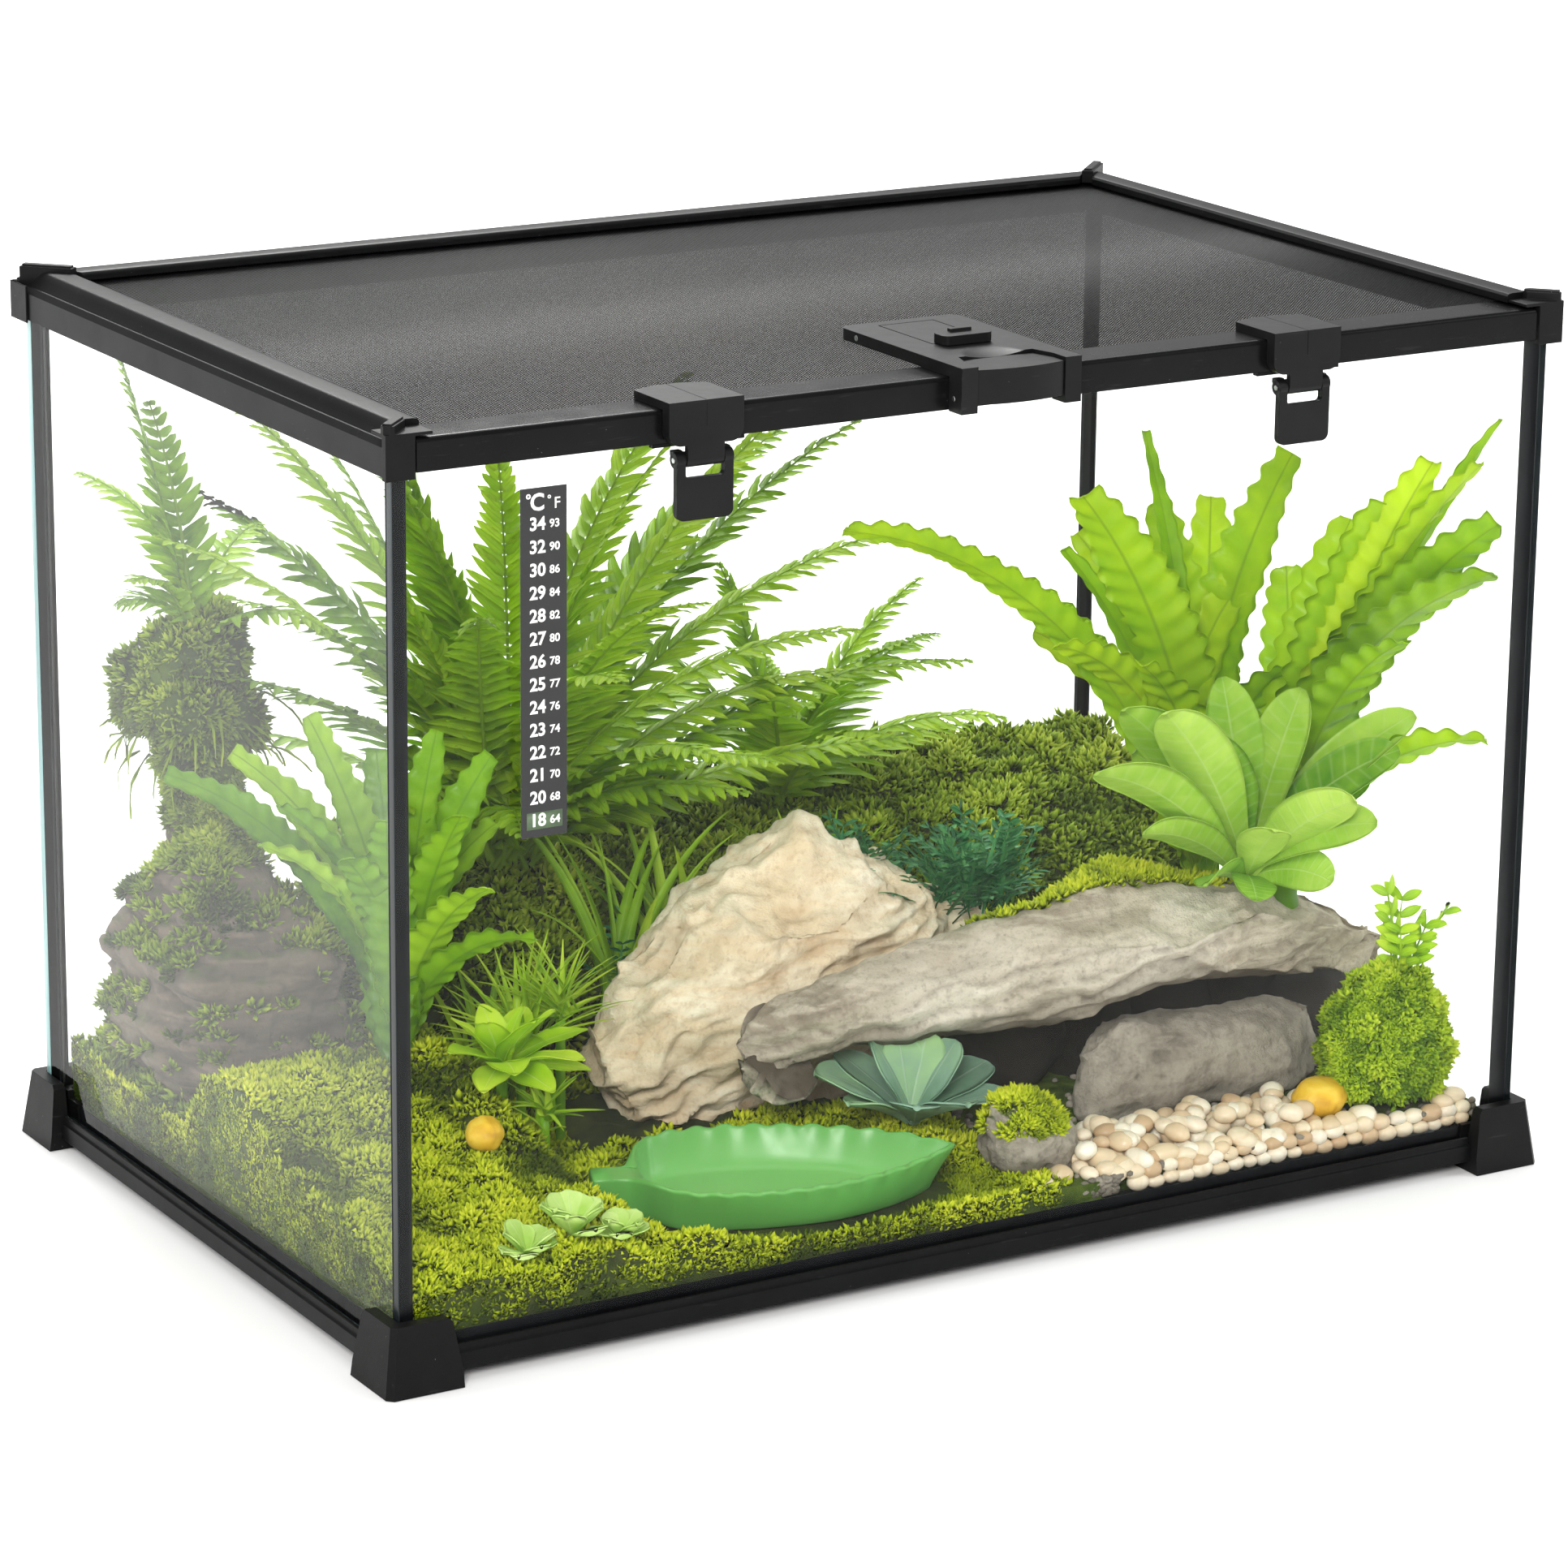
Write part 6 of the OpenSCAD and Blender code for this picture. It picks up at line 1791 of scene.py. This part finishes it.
def build_rosettes():
    rng = np.random.default_rng(501)
    b = Buf()
    base = np.array([162.0, -88.0, 112.0])
    for i, (tip, w, bd, ro, rn) in enumerate([
            ((107, -110, 192), 25, 26, 0.35, 0.75), ((100, -92, 190), 24, 30, 0.3, 0.5), ((80, -104, 170), 23, 40, 0.2, 0.6),
            ((156, -76, 192), 24, 10, 0.0, 0.35), ((141, -92, 174), 22, 16, 0.1, 0.1), ((183, -94, 188), 25, 12, -0.3, 0.55),
            ((223, -114, 177), 24, 34, -0.4, 0.7), ((210, -122, 166), 24, 40, -0.3, 0.05), ((183, -130, 152), 23, 36, -0.5, 0.95),
            ((199, -124, 138), 21, 44, -0.2, 0.75), ((153, -120, 141), 19, 24, 0.0, 0.85), ((152, -110, 110), 18, 66, 0.2, 0.2),
            ((184, -116, 114), 18, 60, 0.0, 0.6), ((128, -110, 120), 18, 56, 0.3, 0.3), ((212, -100, 150), 22, 40, -0.2, 0.3),
            ((120, -70, 165), 23, 34, 0.3, 0.4), ((200, -60, 168), 23, 36, -0.2, 0.5), ((170, -50, 160), 22, 36, 0.1, 0.3),
            ((140, -48, 150), 21, 44, 0.1, 0.5), ((214, -80, 132), 19, 50, 0.0, 0.6), ((112, -90, 138), 19, 52, 0.2, 0.5)]):
        o = base + np.array([rng.uniform(-2, 2), rng.uniform(-2, 2), rng.uniform(-2, 1)])
        h, r, ln = aim(o, tip, bd, 1.2)
        T, N = dirs(h, r)
        leaf(b, o, T, N, ln, w * 1.06, bd, obovate, 26, 6, 0.20, 0.4, 2.0, 1.4, rn, 1.2, ro * 0.5 + facing(T, N) * 0.5, rng.uniform(0, 6), rib=0.35)
    clip_inside(b)
    buf_piece("large_rosette_leaves", b, M["rosette"], "tank", ["large_rosette"])

    b = Buf()
    base = np.array([12.0, -82.0, 34.0])
    for i, (h, r, ln, w, bd) in enumerate([(8, 30, 36, 20, 18), (60, 40, 30, 19, 16), (118, 40, 34, 18, 16), (-32, 26, 34, 19, 20),
                                           (160, 40, 36, 20, 20), (-78, 34, 29, 17, 16), (186, 36, 36, 19, 24), (35, 66, 30, 16, 8),
                                           (-6, 62, 30, 17, 10), (140, 66, 30, 17, 8), (-120, 36, 28, 17, 14), (85, 72, 28, 15, 6)]):
        T, N = dirs(h, r)
        o, col, ro, ph = base + np.array([rng.uniform(-1, 1), rng.uniform(-1, 1), 0]), (0.1, 0.35, 0.5, 0.2, 0.6, 0.3, 0.7, 0.95, 0.4, 0.5, 0.2, 0.8)[i], rng.uniform(-0.2, 0.2), rng.uniform(0, 6)
        # a leaf is shortened until it keeps clear of the space the loose dish is lifted through
        size = 1.2
        while True:
            t = Buf()
            leaf(t, o, T, N, ln * size, w * (0.35 + 0.78 * size), bd, obovate, 20, 5, 0.20, 0.3, 2.0, 2.4, col, 1.0, ro, ph)
            q = np.concatenate(t.v)
            if size < 0.3 or dish_e(q[:, 0], q[:, 1], 3.5).min() > 1.0:
                break
            size *= 0.93
        leaf(b, o, T, N, ln * size, w * (0.35 + 0.78 * size), bd, obovate, 20, 5, 0.20, 0.3, 2.0, 2.4, col, 1.0, ro, ph)
    clip_inside(b)
    buf_piece("grey_rosette_leaves", b, M["succulent"], "tank", ["grey_rosette"])

    b = Buf()
    base = np.array([-139.0, -30.0, 66.0])
    for i, (h, r, ln, w, bd) in enumerate([(-60, 26, 38, 17, 26), (-110, 28, 38, 17, 30), (-15, 32, 36, 16, 26), (-160, 36, 32, 16, 26),
                                           (40, 44, 30, 14, 26), (-85, 58, 33, 15, 24), (-35, 60, 31, 15, 24), (-135, 60, 31, 15, 20),
                                           (90, 60, 26, 13, 20), (160, 56, 28, 13, 20), (0, 72, 24, 11, 10), (-80, 8, 32, 15, 24),
                                           (-130, 10, 32, 15, 20), (-30, 8, 34, 15, 22)]):
        T, N = dirs(h, r)
        leaf(b, base, T, N, ln, w, bd, lambda u: np.sin(np.pi * np.clip(0.08 + 0.90 * u ** 1.15, 0, 1)) ** 0.75, 18, 4, 0.18, 0.4, 2.0, 0.8,
             rng.uniform(0.3, 1.0), 1.1, rng.uniform(-0.2, 0.2), rng.uniform(0, 6), rib=0.3)
    k, n = 10, 5
    zz = np.linspace(50, 67, n)
    a = np.arange(k) * 2 * np.pi / k
    V = np.stack([-139 + 2.2 * np.cos(a)[None] * np.ones((n, 1)), -30 + 2.2 * np.sin(a)[None] * np.ones((n, 1)), np.repeat(zz[:, None], k, 1)], -1)
    b.add(V.reshape(-1, 3), [grid_faces(n, k, wrap_v=True)[:, ::-1], np.arange(k)[::-1][None], ((n - 1) * k + np.arange(k))[None]], la=0.0, lc=0.5, lr=0.1)
    buf_piece("small_rosette_leaves", b, M["bright"], "tank", ["small_rosette"])


def build_grasses():
    rng = np.random.default_rng(601)
    b = Buf()
    for (cx, cy, cz, n, lo, hi, wd) in ((-110, 34, 24, 22, 50, 96, 6.0), (112, 30, 24, 20, 60, 104, 6.0), (40, 44, 60, 16, 40, 84, 7.0),
                                        (-20, 46, 50, 14, 50, 96, 8.5), (-52, 34, 56, 12, 60, 110, 8.5)):
        for i in range(n):
            h = rng.uniform(0, 360)
            T, N = dirs(h, rng.uniform(58, 84))
            o = np.array([cx + rng.uniform(-7, 7), cy + rng.uniform(-5, 5), cz - 2.0])
            leaf(b, o, T, N, rng.uniform(lo, hi), rng.uniform(3.5, wd), rng.uniform(20, 60), lambda u: (1 - u ** 1.6) * 0.96 + 0.04,
                 14, 1, 0.25, 0.0, 1.0, 0.4, rng.uniform(0.1, 1.0), 1.6, rng.uniform(-0.4, 0.4))
    clip_inside(b)
    buf_piece("grass_blades", b, M["grass"], "tank", ["grass_tufts"])
    # spiky bright plant left of the sandstone
    b = Buf()
    for cx, cy, cz, n, lo, hi in ((-118.0, -6.0, 64.0, 60, 28, 50), (-104.0, -12.0, 76.0, 34, 22, 38), (-128.0, -44.0, 48.0, 26, 14, 24)):
        for i in range(n):
            h = rng.uniform(0, 360)
            T, N = dirs(h, rng.uniform(8, 84))
            leaf(b, np.array([cx, cy, cz]) + rng.normal(0, 2.0, 3), T, N, rng.uniform(lo, hi), rng.uniform(2.8, 4.4), rng.uniform(5, 34),
                 lambda u: (1 - u ** 1.4) * 0.95 + 0.05, 7, 1, 0.2, 0.0, 1.0, 0.5, rng.uniform(0.1, 1.0))
        k, n2 = 8, 6
        zz = np.linspace(20, cz, n2)
        a = np.arange(k) * 2 * np.pi / k
        V = np.stack([cx + 2.0 * np.cos(a)[None] * np.ones((n2, 1)), cy + 2.0 * np.sin(a)[None] * np.ones((n2, 1)), np.repeat(zz[:, None], k, 1)], -1)
        b.add(V.reshape(-1, 3), [grid_faces(n2, k, wrap_v=True)[:, ::-1], np.arange(k)[::-1][None], ((n2 - 1) * k + np.arange(k))[None]], la=0.0, lc=0.5, lr=0.1)
    buf_piece("spiky_plant", b, M["bright"], "tank")
    # dark sprigs behind the rocks, a leafy sprig at the right, a small succulent in the front moss
    b = Buf()
    for (cx, cy, cz, n, ln) in ((70, -14, 92, 30, 40), (92, -8, 92, 34, 42), (38, 10, 100, 20, 34), (100, 30, 80, 24, 44), (-40, 40, 60, 24, 36)):
        for i in range(n):
            T, N = dirs(rng.uniform(0, 360), rng.uniform(40, 86))
            o = np.array([cx + rng.uniform(-14, 14), cy + rng.uniform(-6, 6), cz - 4.0])
            C, D, Nn, Lx = leaf(b, o, T, N, rng.uniform(ln * 0.6, ln), 1.8, rng.uniform(0, 40), None, 7, 1, 0.1, 0, 1, 0.6, rng.uniform(0, 1))
            for j in range(2, 8):
                for sg in (-1, 1):
                    leaf(b, C[j], Lx[j] * sg + D[j] * 0.8, Nn[j], rng.uniform(4.0, 7.5), 1.9, 20, None, 3, 1, 0.1, 0, 1, 0.3, rng.uniform(0, 1))
    clip_inside(b)
    buf_piece("dark_sprigs", b, M["dark_herb"], "tank")
    b = Buf()
    for (cx, cy, cz, n, ln) in ((217, -118, 72, 7, 40),):
        for i in range(n):
            T, N = dirs(rng.uniform(0, 360), rng.uniform(62, 86))
            o = np.array([cx + rng.uniform(-5, 5), cy + rng.uniform(-5, 5), cz - 6.0])
            C, D, Nn, Lx = leaf(b, o, T, N, rng.uniform(ln * 0.6, ln), 1.2, rng.uniform(0, 30), None, 10, 1, 0.1, 0, 1, 0.9, 0.2)
            for j in range(4, 11, 2):
                for sg in (-1, 1):
                    leaf(b, C[j], Lx[j] * sg + D[j] * 0.7, Nn[j], rng.uniform(8, 12), 4.2, 26, None, 7, 2, 0.12, 0, 1, 0.4, rng.uniform(0.2, 0.9))
    clip_inside(b)
    buf_piece("leafy_sprig", b, M["bright"], "tank")
    b = Buf()
    for cx, cy, sc in ((-166.0, -136.0, 1.25), (-148.0, -140.0, 0.9), (-186.0, -138.0, 1.0)):
        cz = float(surf_z(np.array([cx]), np.array([cy]))[0]) + 1.5
        for i in range(9):
            T, N = dirs(i * 40 + rng.uniform(-10, 10), rng.uniform(20, 62))
            leaf(b, np.array([cx, cy, cz]), T, N, rng.uniform(12, 16) * sc, 10.5 * sc, 12, obovate, 12, 4, 0.2, 0, 1, 2.2, rng.uniform(0.5, 1))
    clip_inside(b)
    buf_piece("small_succulent", b, M["jade"], "tank")


# ------------------------------------------------------------------ stage, lights, camera
def build_stage():
    bm = bmesh.new()
    s = 9.0
    n = 6
    g = [[bm.verts.new((-s + 2 * s * i / n, -s + 2 * s * j / n, -0.0002)) for j in range(n + 1)] for i in range(n + 1)]
    for i in range(n):
        for j in range(n):
            bm.faces.new((g[i][j], g[i + 1][j], g[i + 1][j + 1], g[i][j + 1]))
    me = bpy.data.meshes.new("floor")
    bm.to_mesh(me)
    bm.free()
    ob = bpy.data.objects.new("floor", me)
    bpy.context.scene.collection.objects.link(ob)
    m = Mat("floor_pale")
    c = m.ramp(m.noise(3.0, 3.0), [(0.3, (0.93, 0.93, 0.93)), (0.8, (0.955, 0.955, 0.955))])
    pr = m.principled(c, 0.75, None, Specular_IOR_Level=0.1)
    # the floor far from the tank glows a little, so that it stays as white as the lit part
    geo = m.n("NewGeometry")
    ln = m.n("VectorMath")
    ln.operation = "LENGTH"
    m.link(geo.outputs["Position"], ln.inputs[0])
    mr = m.n("MapRange")
    mr.interpolation_type = "SMOOTHSTEP"
    mr.inputs["From Min"].default_value, mr.inputs["From Max"].default_value = 0.9, 2.6
    mr.inputs["To Min"].default_value, mr.inputs["To Max"].default_value = 0.0, 0.52
    m.link(ln.outputs["Value"], mr.inputs["Value"])
    pr.inputs["Emission Color"].default_value = (1, 1, 1, 1)
    m.link(mr.outputs["Result"], pr.inputs["Emission Strength"])
    me.materials.append(m.done(pr))


def area(name, loc, target, size, power, color=(1, 1, 1), size_y=None):
    li = bpy.data.lights.new(name, "AREA")
    li.energy = power
    li.color = color
    li.size = size
    if size_y:
        li.shape = "RECTANGLE"
        li.size_y = size_y
    ob = bpy.data.objects.new(name, li)
    ob.location = loc
    d = Vector(target) - Vector(loc)
    ob.rotation_euler = d.to_track_quat("-Z", "Y").to_euler()
    bpy.context.scene.collection.objects.link(ob)
    return ob


def build_lights():
    w = bpy.data.worlds.new("studio")
    w.use_nodes = True
    t = w.node_tree
    bg = t.nodes["Background"]
    bg.inputs["Color"].default_value = (1.0, 1.0, 1.0, 1)
    bg.inputs["Strength"].default_value = 0.46
    # the backdrop itself is lit white
    lit = t.nodes.new("ShaderNodeBackground")
    lit.inputs["Color"].default_value = (1.0, 1.0, 1.0, 1)
    lit.inputs["Strength"].default_value = 1.0
    lp = t.nodes.new("ShaderNodeLightPath")
    mx = t.nodes.new("ShaderNodeMixShader")
    t.links.new(lp.outputs["Is Camera Ray"], mx.inputs[0])
    t.links.new(bg.outputs[0], mx.inputs[1])
    t.links.new(lit.outputs[0], mx.inputs[2])
    t.links.new(mx.outputs[0], t.nodes["World Output"].inputs["Surface"])
    bpy.context.scene.world = w
    area("key", (-1.5, -2.1, 1.45), (0, 0, 0.12), 0.8, 60.0, (1.0, 0.985, 0.96))
    area("top", (0.2, 0.2, 2.3), (0, 0, 0.1), 1.3, 26.0)
    area("right", (2.0, -1.2, 1.1), (0, 0, 0.12), 0.8, 18.0, (0.97, 0.99, 1.0), 1.4)
    area("back", (0.5, 1.7, 2.0), (0, 0, 0.15), 1.0, 46.0, (1.0, 1.0, 0.97), 1.4)
    area("left", (-2.2, 0.6, 1.2), (0, 0, 0.15), 0.9, 16.0, (0.98, 0.99, 1.0), 1.4)
    # lights the floor far behind the tank, so that it stays white up to the top of the frame
    area("far_floor", (1.8, 4.2, 3.4), (1.8, 4.2, 0.0), 3.4, 170.0, (1.0, 1.0, 1.0), 3.4)
    bpy.context.scene.view_settings.view_transform = "Standard"


def build_camera():
    yaw, pitch, roll = math.radians(30.72), math.radians(16.17), math.radians(0.598)
    fw = Vector((math.sin(yaw) * math.cos(pitch), math.cos(yaw) * math.cos(pitch), -math.sin(pitch)))
    right = Vector((math.cos(yaw), -math.sin(yaw), 0))
    up = right.cross(fw)
    r2 = right * math.cos(roll) + up * math.sin(roll)
    u2 = up * math.cos(roll) - right * math.sin(roll)
    cam = bpy.data.cameras.new("camera")
    cam.sensor_width = 36.0
    cam.sensor_fit = "HORIZONTAL"
    cam.lens = 6975.0 * 36.0 / 1932.0
    cam.clip_start, cam.clip_end = 0.05, 50.0
    ob = bpy.data.objects.new("camera", cam)
    bpy.context.scene.collection.objects.link(ob)
    m = Matrix(((r2.x, u2.x, -fw.x, -1.0871), (r2.y, u2.y, -fw.y, -1.83045), (r2.z, u2.z, -fw.z, 0.7686), (0, 0, 0, 1)))
    ob.matrix_world = m
    bpy.context.scene.camera = ob


build_camera()
build_lights()
build_stage()
build_hard()
build_glass()
build_screen()
build_strip()
build_dish()
build_ground()
build_rocks()
build_moss()
build_rock_moss()
build_pebbles()
build_ferns()
build_straps()
build_rosettes()
build_grasses()
